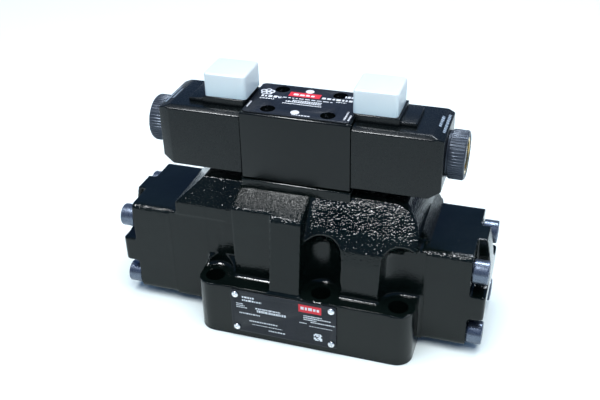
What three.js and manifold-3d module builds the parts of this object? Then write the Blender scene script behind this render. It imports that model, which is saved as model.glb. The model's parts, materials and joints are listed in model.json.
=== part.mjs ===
// Two-stage solenoid directional control valve, in millimetres, +Z up.
// X runs along both spools, -Y is the rating plate side, and z = 0 is the mounting face.
// The origin is on the main spool's centre (x) and the middle of the mounting bolts (y).
import * as THREE from "three";
import { mergeVertices } from "three/addons/utils/BufferGeometryUtils.js";
import Module from "manifold-3d";

const wasm = await Module();
wasm.setup();

// ---- driving dimensions -------------------------------------------------------------
const GAP = 0.3;                 // space left between two faces that touch
const PAST = 1;                  // how far a cutter reaches past the face it opens
const RUN = 0.1;                 // radial clearance of a spool in its bore
const ROUND = 16;                // facets of a bore or a round body
const SMALL_ROUND = 12;          // facets of a screw, seal or small hole
const RIVET_ROUND = 8;           // facets of a rivet and its hole
const WIRE_SIDES = 5;            // facets of a spring wire or a seal's section
const COIL_STEPS = 9;            // pieces in each turn of a spring
const CORNERS = [[-1, 1], [1, 1], [-1, -1], [1, -1]];

// Mounting interface of the main stage: ISO 4401-08, which is NFPA D08.
const BOLTS = [[-53.2, -46.05], [23.8, -46.05], [77, -46.05], [-53.2, 46.05], [0, 46.05], [77, 46.05]];
const BOLT_HOLE_R = 6.75;
const MAIN_PORTS = { p: [0, -28.55], t: [47.6, -28.55], a: [23.8, 28.55], b: [-23.8, 28.55] };
const SMALL_PORTS = { x: [59.5, 26.95], y: [-35.7, -27.05], l: [71.4, 0] };
const MAIN_PORT = { r: 11.7, depth: 36, recessR: 15 };
const SMALL_PORT = { r: 5.6, depth: 18, recessR: 9.5 };
const SEAL_RECESS = 2.5;
const SEAL_WIRE_R = 1.05;
const LOCATING_HOLES = [[-17.5, -50.85], [47.6, 46.05]];
const LOCATING_HOLE = { r: 3.75, depth: 8 };

// Main casting.
const FLANGE = { x0: -64.6, x1: 88.4, y: 57.4, top: 41.7, cornerR: 11.4 };
const BLOCK = { x: 91.4, y: 33, bottom: 5.5, top: 79.3, edgeR: 2.5 };
const SPOOL_Z = 39.5;
const HUMP = { x: 86.2, endRun: 20, shoulderZ: 87, topY: 22.5, top: 106 };
const HUMP_TAIL = { x1: 91, run: 16, low: 80, y0: -20 };     // right end behind the front shoulder
const PAD = { x: 38, y: 25, top: 109.4 };
const WALL_Y = 33.3;             // front and back wall of the casting under its shoulders
const SCOOP_R = 13.2;            // vertical hollow in the wall that a bolt and its key pass
const SCOOP_TOP = 72;
const SPOT = { r: 12.2, depth: 0.8, top: 59 };   // spot face under a bolt's head
const GALLERY = { z: 27, r: 6 };                 // drilling from a main port to the spool's bore

// Main spool and its bore.
const BORE_R = 16;
const GROOVE = { r: 20, half: 6, xs: [-47.6, -23.8, 0, 23.8, 47.6] };
const SPOOL = { half: 88, waistR: 9.5, lands: [[-88, -56], [-33, -15], [15, 33], [56, 88]] };
const SPOOL_WASHER = { r: 15, hole: 5, thick: 3 };
const SPRING = { r: 11, wire: 1.5, turns: 4.5 };

// End covers.
const COVER = { x0: 91.7, x1: 131.8, y: 33, bottom: 5.5, top: 79.3, edgeR: 5, endChamfer: 3, dome: 4.5 };
const POCKET = { x0: 121.3, armY: 9, armZ: 9.5, r: 14 };     // corner hollow round a cover screw's head
const CHAMBER = { r: 20, x1: 117.5 };
const COVER_SCREW = { y: 24.8, z: 25.2, r: 5, headR: 8, headLen: 10, len: 45, keyR: 4.62, keyDepth: 5 };
const COVER_SCREW_HOLE_R = 6.3;
const TIP_ROOM = 2.5;            // depth of a screw's hole past the screw's tip
const COVER_SEAL = { r: 22.5, wire: 1 };

// Rating plate and its rivets.
const PLATE = { x0: -37.8, x1: 38, z0: 4.7, z1: 40.4, thick: 0.6, cornerR: 2 };
const RIVET = { r: 1.9, inset: 3.6, headR: 2.5, headLen: 0.9, len: 5 };

// Pilot valve: ISO 4401-03 pattern, which is NFPA D03.
const PILOT = { x: 37.2, y: 24, bottom: 109.7, top: 158.4, edgeR: 1.5 };
const PILOT_Z = 135;
const PILOT_SCREW = { x: 20.25, y: 15.5, r: 2.45, headR: 4.25, headLen: 5, seat: 148, len: 48, keyR: 2.3 };
const PILOT_SCREW_BORE_R = 5;
const PILOT_SCREW_HOLE_R = 2.8;
const PILOT_PORTS = [[1.25, 10.4], [1.25, -10.4], [-7.55, 0], [9.95, 0]];
const PILOT_PORT = { r: 3.2, depthBelow: 14 };
const LABEL = { x: 36, y: 22.6, thick: 0.5, cornerR: 2.5 };
const PILOT_BORE_R = 5;
const PILOT_LANDS = [[-27, -17], [-9.5, -4.5], [4.5, 9.5], [17, 27]];
const PILOT_SPOOL = { half: 27, stubR: 3, stubHalf: 31, waistR: 3, lands: PILOT_LANDS };
const PILOT_CHAMBER = { r: 9, x0: 24 };
const PILOT_RETAINER = { r: 8, hole: 3.3, thick: 2 };
const PILOT_SPRING = { r: 6.6, wire: 0.6, turns: 3.5 };

// Solenoids.
const TUBE = { r: 9.5, x0: 37.5, x1: 106.8, pinHole: 2.2, chamberR: 7.7, edge: 0.8 };
const TUBE_CHAMBER = { x0: 55.3, x1: 86.1 };     // faces of the pole piece and of the end plug
const ARMATURE = { r: 7.4, x0: 58.5, x1: 80, pinR: 1.9, pinX0: 31.3 };
const COIL = { x0: 37.5, x1: 95.8, y: 24, bottom: 113.2, top: 156.7, bore: 9.8, edge: 1.6 };
const COIL_TAPER = { x: 88, side: 2.5, top: 2.8, bottom: 4.5 };    // inset of the outer end on each face
const PLINTH = { x1: 66.4, y: 14.7, top: 162 };
const PLATEAU = { x0: 66.4, x1: 77, y: 13, rise: 2.8, ramp: 1 };
const TERMINAL = { x: 50.4, half: 12, y: 11, base: 3, bladeTop: 174.5 };
const BLADE = { half: 3, thick: 0.8, spread: 9 };
const CAP = { x: 50.4, half: 14.6, y: 14, top: 178.5, wall: 1.2, edge: 2.5 };
const NUT = { x0: 96.1, x1: 108.2, neckR: 15.1, rimX0: 97.3, rimR: 15.7, edge: 0.6 };
const KNURL = { x0: 98.1, x1: 107.2, r: 16.1, rootR: 15.3, ridges: 36, wall: 2 };
const INSERT = { r: 12.4, hole: 9.85, x0: 97, x1: 107.8, edge: 0.5 };
const OVERRIDE = { r: 1.9, x0: 86.5, x1: 105.8, edge: 0.5 };

// ---- finishes -----------------------------------------------------------------------
function finish(color, roughness, metalness) {
  return new THREE.MeshStandardMaterial({ color, roughness, metalness });
}

const castEnamel = finish(0x14191c, 0.25, 0.1);
const smoothEnamel = finish(0x171c20, 0.4, 0.1);
const mouldedBlack = finish(0x15181c, 0.45, 0);
const bareSteel = finish(0x9a9ca0, 0.35, 1);
const blackSteel = finish(0x202226, 0.35, 0.9);
const springSteel = finish(0x6a6c70, 0.4, 1);
const sealRubber = finish(0x101010, 0.8, 0);
const platePaint = finish(0x0c0e12, 0.4, 0.2);
const rivetSteel = finish(0xc4c6c8, 0.3, 1);
const brass = finish(0xb08d4a, 0.35, 1);
const capPlastic = finish(0xe9f3f5, 0.35, 0);

// ---- solids -------------------------------------------------------------------------
// Turns a closed three.js geometry into a manifold solid whose faces point out.
function solid(geometry) {
  const bare = geometry.clone();
  bare.deleteAttribute("normal");
  bare.deleteAttribute("uv");
  const merged = mergeVertices(bare, 1e-4);
  const corners = merged.attributes.position.array;
  const kept = [];
  let volume = 0;
  const a = new THREE.Vector3();
  const b = new THREE.Vector3();
  const c = new THREE.Vector3();
  for (let i = 0; i < merged.index.count; i += 3) {
    const [p, q, r] = merged.index.array.slice(i, i + 3);
    if (p === q || q === r || r === p) {
      continue;
    }
    kept.push(p, q, r);
    a.fromArray(corners, 3 * p);
    b.fromArray(corners, 3 * q);
    c.fromArray(corners, 3 * r);
    volume += a.dot(b.cross(c));
  }
  if (volume < 0) {
    kept.reverse();
  }
  const mesh = new wasm.Mesh({
    numProp: 3,
    vertProperties: new Float32Array(corners),
    triVerts: new Uint32Array(kept),
  });
  return new wasm.Manifold(mesh);
}

function join(first, ...others) {
  return others.reduce((whole, piece) => whole.add(piece), first);
}

function cut(first, ...others) {
  return others.reduce((whole, piece) => whole.subtract(piece), first);
}

// Maps a local (x, y, z) of an extrusion to the named world axes.
const AXES = {
  x: [new THREE.Vector3(0, 1, 0), new THREE.Vector3(0, 0, 1), new THREE.Vector3(1, 0, 0)],
  y: [new THREE.Vector3(0, 0, 1), new THREE.Vector3(1, 0, 0), new THREE.Vector3(0, 1, 0)],
  z: [new THREE.Vector3(1, 0, 0), new THREE.Vector3(0, 1, 0), new THREE.Vector3(0, 0, 1)],
};

// A prism of an outline, along one axis from low to high. The outline's two coordinates are
// (y, z) along x, (z, x) along y and (x, y) along z.
function prism(axis, outline, low, high, curveSegments = 3) {
  const isShape = outline instanceof THREE.Shape;
  const shape = isShape ? outline : new THREE.Shape(outline.map(([u, v]) => new THREE.Vector2(u, v)));
  const settings = { depth: high - low, bevelEnabled: false, curveSegments };
  const geometry = new THREE.ExtrudeGeometry(shape, settings);
  geometry.translate(0, 0, low);
  geometry.applyMatrix4(new THREE.Matrix4().makeBasis(...AXES[axis]));
  return solid(geometry);
}

function box(x0, x1, y0, y1, z0, z1) {
  const geometry = new THREE.BoxGeometry(x1 - x0, y1 - y0, z1 - z0);
  geometry.translate((x0 + x1) / 2, (y0 + y1) / 2, (z0 + z1) / 2);
  return solid(geometry);
}

function circlePoints(r, facets, centre = [0, 0]) {
  const points = [];
  for (let i = 0; i < facets; i += 1) {
    const turn = (2 * Math.PI * i) / facets;
    points.push([centre[0] + r * Math.cos(turn), centre[1] + r * Math.sin(turn)]);
  }
  return points;
}

// A round bar along one axis; centre is the point where it crosses the other two axes' plane.
function rod(axis, r, low, high, centre = [0, 0], facets = ROUND) {
  return prism(axis, circlePoints(r, facets, centre), low, high);
}

function roundedOutline(u0, u1, v0, v1, r) {
  const shape = new THREE.Shape();
  const quarter = Math.PI / 2;
  shape.absarc(u1 - r, v0 + r, r, -quarter, 0);
  shape.absarc(u1 - r, v1 - r, r, 0, quarter);
  shape.absarc(u0 + r, v1 - r, r, quarter, 2 * quarter);
  shape.absarc(u0 + r, v0 + r, r, 2 * quarter, 3 * quarter);
  return shape;
}

// A turned piece about the X axis. Each profile point is [x, radius], and the profile starts
// and ends on the axis or closes on itself.
function turned(profile, facets = ROUND) {
  const points = profile.map(([x, r]) => new THREE.Vector2(r, x));
  const geometry = new THREE.LatheGeometry(points, facets, -Math.PI / 2);
  geometry.rotateZ(-Math.PI / 2);
  return solid(geometry);
}

function ring(wireR, ringR, ringFacets = SMALL_ROUND) {
  return solid(new THREE.TorusGeometry(ringR, wireR, WIRE_SIDES, ringFacets));
}

function flatRing({ r, hole }, x0, x1, facets) {
  return turned([[x0, hole], [x0, r], [x1, r], [x1, hole], [x0, hole]], facets);
}

// A coil of round wire about the X axis, from x0 to x1 over the wire's own thickness.
class Helix extends THREE.Curve {
  constructor(r, x0, x1, turns) {
    super();
    Object.assign(this, { r, x0, x1, turns });
  }

  getPoint(t, target = new THREE.Vector3()) {
    const turn = 2 * Math.PI * this.turns * t;
    return target.set(this.x0 + (this.x1 - this.x0) * t, this.r * Math.cos(turn), this.r * Math.sin(turn));
  }
}

function coilSpring({ r, wire, turns }, x0, x1) {
  const points = circlePoints(wire, WIRE_SIDES).map(([u, v]) => new THREE.Vector2(u, v));
  const extrudePath = new Helix(r, x0 + wire, x1 - wire, turns);
  const steps = Math.round(turns * COIL_STEPS);
  return solid(new THREE.ExtrudeGeometry(new THREE.Shape(points), { steps, extrudePath }));
}

// A socket-head screw along -X: its head's seat is at x = 0 and its head points to +X.
function socketScrew({ r, headR, headLen, len, keyR, keyDepth = headLen / 2 }) {
  const headChamfer = headR * 0.08;
  const tipChamfer = r * 0.2;
  const hexagon = 6;
  const body = turned([
    [-len, 0], [-len, r - tipChamfer], [-len + tipChamfer, r], [0, r], [0, headR],
    [headLen - headChamfer, headR], [headLen, headR - headChamfer], [headLen, 0],
  ], SMALL_ROUND);
  return cut(body, rod("x", keyR, headLen - keyDepth, headLen + PAST, [0, 0], hexagon));
}

// ---- scene graph --------------------------------------------------------------------
function meshOf(name, shape, material) {
  const { vertProperties, triVerts } = shape.getMesh();
  const geometry = new THREE.BufferGeometry();
  geometry.setAttribute("position", new THREE.BufferAttribute(new Float32Array(vertProperties), 3));
  geometry.setIndex(new THREE.BufferAttribute(new Uint32Array(triVerts), 1));
  geometry.computeVertexNormals();
  const mesh = new THREE.Mesh(geometry, material);
  mesh.name = name;
  return mesh;
}

const valve = new THREE.Group();

// ---- main stage ---------------------------------------------------------------------
// Cuts a mass to the hump's ends, seen from the front: a straight slope on the left, and the
// given outline on the right, which runs from the top down to the outer end.
function betweenHumpEnds(mass, rightEnd) {
  const low = BLOCK.top - PAST;
  const left = [[low, -HUMP.x], [HUMP.shoulderZ, -HUMP.x], [HUMP.top, -HUMP.x + HUMP.endRun]];
  return mass.intersect(prism("y", [...left, ...rightEnd, [low, rightEnd.at(-1)[1]]], -FLANGE.y, FLANGE.y));
}

// The front shoulder's right end: a quarter ellipse.
function frontEnd() {
  const rise = HUMP.top - HUMP.shoulderZ;
  const steps = 6;
  return Array.from({ length: steps + 1 }, (unused, i) => {
    const turn = (Math.PI / 2) * (i / steps);
    return [HUMP.shoulderZ + rise * Math.cos(turn), HUMP.x - HUMP.endRun + HUMP.endRun * Math.sin(turn)];
  });
}

// The right end behind the shoulder: a straight slope down to the end cover.
function tailEnd() {
  return [[HUMP.top, HUMP_TAIL.x1 - HUMP_TAIL.run], [HUMP_TAIL.low, HUMP_TAIL.x1]];
}

function hump() {
  const low = BLOCK.top - PAST;
  const half = [[WALL_Y, low], [WALL_Y, HUMP.shoulderZ], [HUMP.topY, HUMP.top]];
  const otherHalf = half.map(([y, z]) => [-y, z]).reverse();
  const ridge = prism("x", [...half, ...otherHalf], -BLOCK.x, BLOCK.x);
  const behind = box(0, BLOCK.x, HUMP_TAIL.y0, WALL_Y, low, HUMP.top);
  return join(
    betweenHumpEnds(ridge, frontEnd()),
    betweenHumpEnds(ridge.intersect(behind), tailEnd()),
  );
}

// A mass on the casting's wall between x0 and x1. Points run down its outside as [y, z], with
// y counted outwards, and side is -1 for the front and +1 for the back.
function wallMass(side, x0, x1, points) {
  const inner = HUMP.topY - 4;
  const closed = [...points, [inner, points[points.length - 1][1]], [inner, points[0][1]]];
  const outline = closed.map(([y, z]) => [side * y, z]);
  return prism("x", outline, x0, x1);
}

const RIB_BOTTOM = FLANGE.top - 1;
const LOW_RIB = [[26, 103.7], [43, 98], [44.5, 95.5], [44.5, RIB_BOTTOM]];
const TALL_RIB = [[26, 103.7], [46, 97], [48.5, 94], [56, RIB_BOTTOM]];
const SHOULDER = [[24.5, 103.5], [38, 87], [44.5, 77], [46.5, 68], [48, RIB_BOTTOM]];
const BROW = [[24.5, 103.5], [38, 87], [41, 82], [33, 76]];
const FOOT = [[WALL_Y - 1, 51], [36, 45.5], [42, RIB_BOTTOM]];

function castMasses() {
  return join(
    wallMass(-1, -39, -10.5, LOW_RIB),
    wallMass(-1, -10.5, 11.2, TALL_RIB),
    wallMass(-1, 11.2, 77, SHOULDER),
    betweenHumpEnds(wallMass(-1, 60, BLOCK.x, BROW), frontEnd()),
    wallMass(-1, FLANGE.x0 + 2, -35, FOOT),
    wallMass(1, -42, 62, SHOULDER),
    betweenHumpEnds(wallMass(1, 55, 80, BROW), tailEnd()),
    betweenHumpEnds(wallMass(1, -BLOCK.x, -35, BROW), tailEnd()),
    wallMass(1, FLANGE.x0 + 2, -40, FOOT),
    wallMass(1, 60, FLANGE.x1 - 2, FOOT),
  );
}

// Round-topped hollow that clears a mounting bolt's head and key.
function scoop([x, y]) {
  const domeRings = 6;
  const dome = new THREE.SphereGeometry(SCOOP_R, ROUND, domeRings);
  dome.rotateX(Math.PI / 2);
  dome.translate(x, y, SCOOP_TOP);
  return join(rod("z", SCOOP_R, FLANGE.top, SCOOP_TOP, [x, y]), solid(dome));
}

function boltCuts() {
  return BOLTS.map((at) => join(
    rod("z", BOLT_HOLE_R, -PAST, BLOCK.top, at),
    rod("z", SPOT.r, FLANGE.top - SPOT.depth, SPOT.top, at),
    scoop(at),
  ));
}

function mountingPortCuts() {
  const drill = (at, port) => join(
    rod("z", port.r, -PAST, port.depth, at),
    rod("z", port.recessR, -PAST, SEAL_RECESS, at),
  );
  const gallery = ([x, y]) => {
    const [low, high] = [Math.min(0, y), Math.max(0, y)];
    return rod("y", GALLERY.r, low, high, [GALLERY.z, x], SMALL_ROUND);
  };
  const pinHole = (at) => rod("z", LOCATING_HOLE.r, -PAST, LOCATING_HOLE.depth, at, SMALL_ROUND);
  return [
    ...Object.values(MAIN_PORTS).map((at) => drill(at, MAIN_PORT)),
    ...Object.values(SMALL_PORTS).map((at) => drill(at, SMALL_PORT)),
    ...LOCATING_HOLES.map(pinHole),
    ...Object.values(MAIN_PORTS).map(gallery),
  ];
}

function spoolBore() {
  const end = BLOCK.x + PAST;
  const axis = [0, SPOOL_Z];
  const grooves = GROOVE.xs.map((x) => rod("x", GROOVE.r, x - GROOVE.half, x + GROOVE.half, axis));
  return join(rod("x", BORE_R, -end, end, axis), ...grooves);
}

// Cover screws as [y, z], with z from the main spool's axis, and pilot screws as [x, y].
const COVER_SCREW_PLACES = CORNERS.map(([sy, sz]) => [sy * COVER_SCREW.y, sz * COVER_SCREW.z]);
const PILOT_SCREW_PLACES = CORNERS.map(([sx, sy]) => [sx * PILOT_SCREW.x, -sy * PILOT_SCREW.y]);

function coverScrewHoles() {
  const [deep, mouth] = [POCKET.x0 - COVER_SCREW.len - TIP_ROOM, BLOCK.x + PAST];
  return COVER_SCREW_PLACES.flatMap(([y, z]) => {
    const at = [y, z + SPOOL_Z];
    return [
      rod("x", COVER_SCREW_HOLE_R, deep, mouth, at, SMALL_ROUND),
      rod("x", COVER_SCREW_HOLE_R, -mouth, -deep, at, SMALL_ROUND),
    ];
  });
}

function padCuts() {
  const screwBottom = PILOT_SCREW.seat - PILOT_SCREW.len - TIP_ROOM;
  const portBottom = PAD.top - PILOT_PORT.depthBelow;
  const mouth = PAD.top + PAST;
  return [
    ...PILOT_SCREW_PLACES.map((at) => rod("z", PILOT_SCREW_HOLE_R, screwBottom, mouth, at, SMALL_ROUND)),
    ...PILOT_PORTS.map((at) => rod("z", PILOT_PORT.r, portBottom, mouth, at, SMALL_ROUND)),
  ];
}

function rivetHoles() {
  const [mouth, deep] = [-FLANGE.y - PAST, -FLANGE.y + RIVET.len];
  return rivetPlaces().map(([x, z]) => rod("y", RIVET.r + GAP, mouth, deep, [z, x], RIVET_ROUND));
}

function mainBody() {
  const flangeOutline = roundedOutline(FLANGE.x0, FLANGE.x1, -FLANGE.y, FLANGE.y, FLANGE.cornerR);
  const flange = prism("z", flangeOutline, 0, FLANGE.top, 4);
  const blockOutline = roundedOutline(-BLOCK.y, BLOCK.y, BLOCK.bottom, BLOCK.top, BLOCK.edgeR);
  const block = prism("x", blockOutline, -BLOCK.x, BLOCK.x, 2);
  const pad = box(-PAD.x, PAD.x, -PAD.y, PAD.y, BLOCK.top, PAD.top);
  const casting = join(flange, block, hump(), pad, castMasses());
  return cut(
    casting,
    ...boltCuts(),
    ...mountingPortCuts(),
    spoolBore(),
    ...coverScrewHoles(),
    ...padCuts(),
    ...rivetHoles(),
  );
}

function mainSpool() {
  const profile = [[-SPOOL.half, 0]];
  const landR = BORE_R - RUN;
  SPOOL.lands.forEach(([x0, x1], i) => {
    if (i > 0) {
      profile.push([x0, SPOOL.waistR]);
    }
    profile.push([x0, landR], [x1, landR]);
    if (i < SPOOL.lands.length - 1) {
      profile.push([x1, SPOOL.waistR]);
    }
  });
  profile.push([SPOOL.half, 0]);
  return turned(profile);
}

function endCover() {
  const { x0, x1, y, edgeR, endChamfer, dome } = COVER;
  const [bottom, top] = [COVER.bottom - SPOOL_Z, COVER.top - SPOOL_Z];
  const slope = x1 - endChamfer;
  const plan = [[x0, -y], [slope, -y], [x1, -y + endChamfer], [x1, y - endChamfer], [slope, y], [x0, y]];
  const side = [[bottom, x0]];
  const domeSteps = 8;
  for (let i = 0; i <= domeSteps; i += 1) {
    const across = (2 * i) / domeSteps - 1;
    side.push([bottom + (top - bottom) * (i / domeSteps), x1 - dome * across * across]);
  }
  side.push([top, x0]);
  const block = prism("x", roundedOutline(-y, y, bottom, top, edgeR), x0, x1)
    .intersect(prism("z", plan, bottom, top))
    .intersect(prism("y", side, -y, y));
  const holes = COVER_SCREW_PLACES.map((at) => rod("x", COVER_SCREW_HOLE_R, x0 - PAST, x1, at, SMALL_ROUND));
  const chamber = rod("x", CHAMBER.r, x0 - PAST, CHAMBER.x1);
  return cut(block, ...CORNERS.map(screwPocket), ...holes, chamber, coverSealGroove());
}

// The hollow at one corner of the cover's outer end, open to both sides. What is left between
// the four hollows is a cross.
function screwPocket([sy, sz]) {
  const far = 2 * COVER.y;
  const cornerSteps = 4;
  const outline = roundedOutline(POCKET.armY, far, POCKET.armZ, far, POCKET.r);
  const pocket = prism("x", outline, POCKET.x0, COVER.x1 + PAST, cornerSteps);
  const mirrored = sy > 0 ? pocket : pocket.mirror([0, 1, 0]);
  return sz > 0 ? mirrored : mirrored.mirror([0, 0, 1]);
}

function coverSealGroove() {
  const room = COVER_SEAL.wire + GAP;
  const [mouth, deep] = [COVER.x0 - PAST, COVER.x0 + 2 * COVER_SEAL.wire + GAP];
  const inner = rod("x", COVER_SEAL.r - room, mouth - PAST, deep + PAST);
  return cut(rod("x", COVER_SEAL.r + room, mouth, deep), inner);
}

function rivetPlaces() {
  const xs = [PLATE.x0 + RIVET.inset, PLATE.x1 - RIVET.inset];
  const zs = [PLATE.z0 + RIVET.inset, PLATE.z1 - RIVET.inset];
  return zs.flatMap((z) => xs.map((x) => [x, z]));
}

function ratingPlate() {
  const outer = -FLANGE.y - GAP - PLATE.thick;
  const outline = roundedOutline(PLATE.z0, PLATE.z1, PLATE.x0, PLATE.x1, PLATE.cornerR);
  const plate = prism("y", outline, outer, outer + PLATE.thick);
  const hole = ([x, z]) => rod("y", RIVET.r + GAP, outer - PAST, outer + PAST, [z, x], RIVET_ROUND);
  return cut(plate, ...rivetPlaces().map(hole));
}

function buildMainStage() {
  const stage = new THREE.Group();
  stage.add(meshOf("main_body", mainBody(), castEnamel));

  const spoolLine = new THREE.Group();
  spoolLine.position.z = SPOOL_Z;
  spoolLine.add(meshOf("main_spool", mainSpool(), bareSteel));
  stage.add(spoolLine);

  for (const [side, turn] of [["left", Math.PI], ["right", 0]]) {
    const end = new THREE.Group();
    end.rotation.z = turn;
    const washerX = SPOOL.half + GAP;
    const washerEnd = washerX + SPOOL_WASHER.thick;
    const washer = flatRing(SPOOL_WASHER, washerX, washerEnd, ROUND);
    end.add(meshOf(`${side}_spring_washer`, washer, bareSteel));
    const spring = coilSpring(SPRING, washerEnd + GAP, CHAMBER.x1 - GAP);
    end.add(meshOf(`${side}_centering_spring`, spring, springSteel));
    end.add(meshOf(`${side}_end_cover`, endCover(), castEnamel));
    const seal = meshOf(`${side}_cover_seal`, ring(COVER_SEAL.wire, COVER_SEAL.r, ROUND), sealRubber);
    seal.rotation.y = Math.PI / 2;
    seal.position.x = COVER.x0 + COVER_SEAL.wire;
    end.add(seal);
    COVER_SCREW_PLACES.forEach(([y, z], i) => {
      const screw = meshOf(`${side}_cover_screw_${i + 1}`, socketScrew(COVER_SCREW), blackSteel);
      screw.position.set(POCKET.x0 + GAP, y, z);
      end.add(screw);
    });
    spoolLine.add(end);
  }

  const sealSets = [[MAIN_PORTS, MAIN_PORT], [SMALL_PORTS, SMALL_PORT]];
  for (const [places, port] of sealSets) {
    for (const [letter, [x, y]] of Object.entries(places)) {
      const ringR = (port.r + port.recessR) / 2;
      const seal = meshOf(`port_seal_${letter}`, ring(SEAL_WIRE_R, ringR), sealRubber);
      seal.position.set(x, y, SEAL_RECESS - GAP - SEAL_WIRE_R);
      stage.add(seal);
    }
  }

  stage.add(meshOf("rating_plate", ratingPlate(), platePaint));
  rivetPlaces().forEach(([x, z], i) => {
    const rivet = meshOf(`plate_rivet_${i + 1}`, turned([
      [-RIVET.len, 0], [-RIVET.len, RIVET.r], [0, RIVET.r], [0, RIVET.headR],
      [RIVET.headLen / 2, RIVET.headR], [RIVET.headLen, RIVET.headR / 2], [RIVET.headLen, 0],
    ], RIVET_ROUND), rivetSteel);
    rivet.rotation.z = -Math.PI / 2;
    rivet.position.set(x, -FLANGE.y - PLATE.thick - 2 * GAP, z);
    stage.add(rivet);
  });
  return stage;
}

// ---- pilot stage --------------------------------------------------------------------
function pilotBody() {
  const outline = roundedOutline(-PILOT.y, PILOT.y, PILOT.bottom, PILOT.top, PILOT.edgeR);
  const block = prism("x", outline, -PILOT.x, PILOT.x, 2);
  const end = PILOT.x + PAST;
  const below = PILOT.bottom - PAST;
  const axis = [0, PILOT_Z];
  const bores = [
    rod("x", PILOT_BORE_R, -end, end, axis, SMALL_ROUND),
    rod("x", PILOT_CHAMBER.r, -end, -PILOT_CHAMBER.x0, axis, SMALL_ROUND),
    rod("x", PILOT_CHAMBER.r, PILOT_CHAMBER.x0, end, axis, SMALL_ROUND),
  ];
  const screwCuts = PILOT_SCREW_PLACES.flatMap((at) => [
    rod("z", PILOT_SCREW_HOLE_R, below, PILOT_SCREW.seat + PAST, at, SMALL_ROUND),
    rod("z", PILOT_SCREW_BORE_R, PILOT_SCREW.seat, PILOT.top + PAST, at, SMALL_ROUND),
  ]);
  const ports = PILOT_PORTS.map((at) => rod("z", PILOT_PORT.r, below, PILOT_Z, at, SMALL_ROUND));
  return cut(block, ...bores, ...screwCuts, ...ports);
}

function pilotLabel() {
  const bottom = PILOT.top + GAP;
  const outline = roundedOutline(-LABEL.x, LABEL.x, -LABEL.y, LABEL.y, LABEL.cornerR);
  const top = bottom + LABEL.thick;
  const hole = (at) => rod("z", PILOT_SCREW_BORE_R, bottom - PAST, top + PAST, at, SMALL_ROUND);
  return cut(prism("z", outline, bottom, top), ...PILOT_SCREW_PLACES.map(hole));
}

function pilotSpool() {
  const { half, stubR, stubHalf, waistR, lands } = PILOT_SPOOL;
  const landR = PILOT_BORE_R - RUN;
  const profile = [[-stubHalf, 0], [-stubHalf, stubR], [-half, stubR]];
  lands.forEach(([x0, x1], i) => {
    if (i > 0) {
      profile.push([x0, waistR]);
    }
    profile.push([x0, landR], [x1, landR]);
    if (i < lands.length - 1) {
      profile.push([x1, waistR]);
    }
  });
  profile.push([half, stubR], [stubHalf, stubR], [stubHalf, 0]);
  return turned(profile, SMALL_ROUND);
}

function coreTube() {
  const { r, x0, x1, pinHole, chamberR, edge } = TUBE;
  const { x0: poleFace, x1: plugFace } = TUBE_CHAMBER;
  return turned([
    [x0, pinHole], [x0, r], [x1 - edge, r], [x1, r - edge], [x1, pinHole],
    [plugFace, pinHole], [plugFace, chamberR], [poleFace, chamberR], [poleFace, pinHole], [x0, pinHole],
  ], SMALL_ROUND);
}

function armature() {
  const { r, x0, x1, pinR, pinX0 } = ARMATURE;
  return turned([[pinX0, 0], [pinX0, pinR], [x0, pinR], [x0, r], [x1, r], [x1, 0]], SMALL_ROUND);
}

// Potted coil: square block whose outer end tapers on all four sides, a raised plateau, and the
// plinth that carries the electrical connector. Heights are from the armature's axis.
function coil() {
  const { x0, x1, y, edge } = COIL;
  const [bottom, top] = [COIL.bottom - PILOT_Z, COIL.top - PILOT_Z];
  const outer = x1 + PAST;
  const taperX = COIL_TAPER.x;
  const endY = y - COIL_TAPER.side;
  const [endBottom, endTop] = [bottom + COIL_TAPER.bottom, top - COIL_TAPER.top];
  const plan = [[x0, -y], [taperX, -y], [x1, -endY], [x1, endY], [taperX, y], [x0, y]];
  const side = [[bottom, x0], [bottom, taperX], [endBottom, x1], [endTop, x1], [top, taperX], [top, x0]];
  const rightHalf = [[y, bottom], [y, top - edge], [y - edge, top]];
  const leftHalf = rightHalf.map(([across, up]) => [-across, up]).reverse();
  const end = [...rightHalf, ...leftHalf];
  const block = prism("z", plan, bottom, top)
    .intersect(prism("y", side, -y - PAST, y + PAST))
    .intersect(prism("x", end, x0 - PAST, outer));
  const root = top - PAST;
  const plinth = box(x0, PLINTH.x1, -PLINTH.y, PLINTH.y, root, PLINTH.top - PILOT_Z);
  const risen = top + PLATEAU.rise;
  const plateau = prism("y", [
    [root, PLATEAU.x0 - PLATEAU.ramp], [top, PLATEAU.x0], [risen, PLATEAU.x0 + PLATEAU.ramp],
    [risen, PLATEAU.x1 - PLATEAU.ramp], [root, PLATEAU.x1],
  ], -PLATEAU.y, PLATEAU.y);
  return cut(join(block, plinth, plateau), rod("x", COIL.bore, x0 - PAST, outer, [0, 0], SMALL_ROUND));
}

// Connector base with two contact blades across X and an earth blade across Y.
function terminalBlock() {
  const bottom = PLINTH.top + GAP - PILOT_Z;
  const baseTop = bottom + TERMINAL.base;
  const bladeTop = TERMINAL.bladeTop - PILOT_Z;
  const root = baseTop - PAST;
  const { x, half, y } = TERMINAL;
  const base = box(x - half, x + half, -y, y, bottom, baseTop);
  const thin = BLADE.thick / 2;
  const contacts = [x - BLADE.spread, x + BLADE.spread].map((at) =>
    box(at - thin, at + thin, -BLADE.half, BLADE.half, root, bladeTop));
  const earthY = BLADE.spread;
  const earth = box(x - BLADE.half, x + BLADE.half, earthY - thin, earthY + thin, root, bladeTop);
  return join(base, ...contacts, earth);
}

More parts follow.
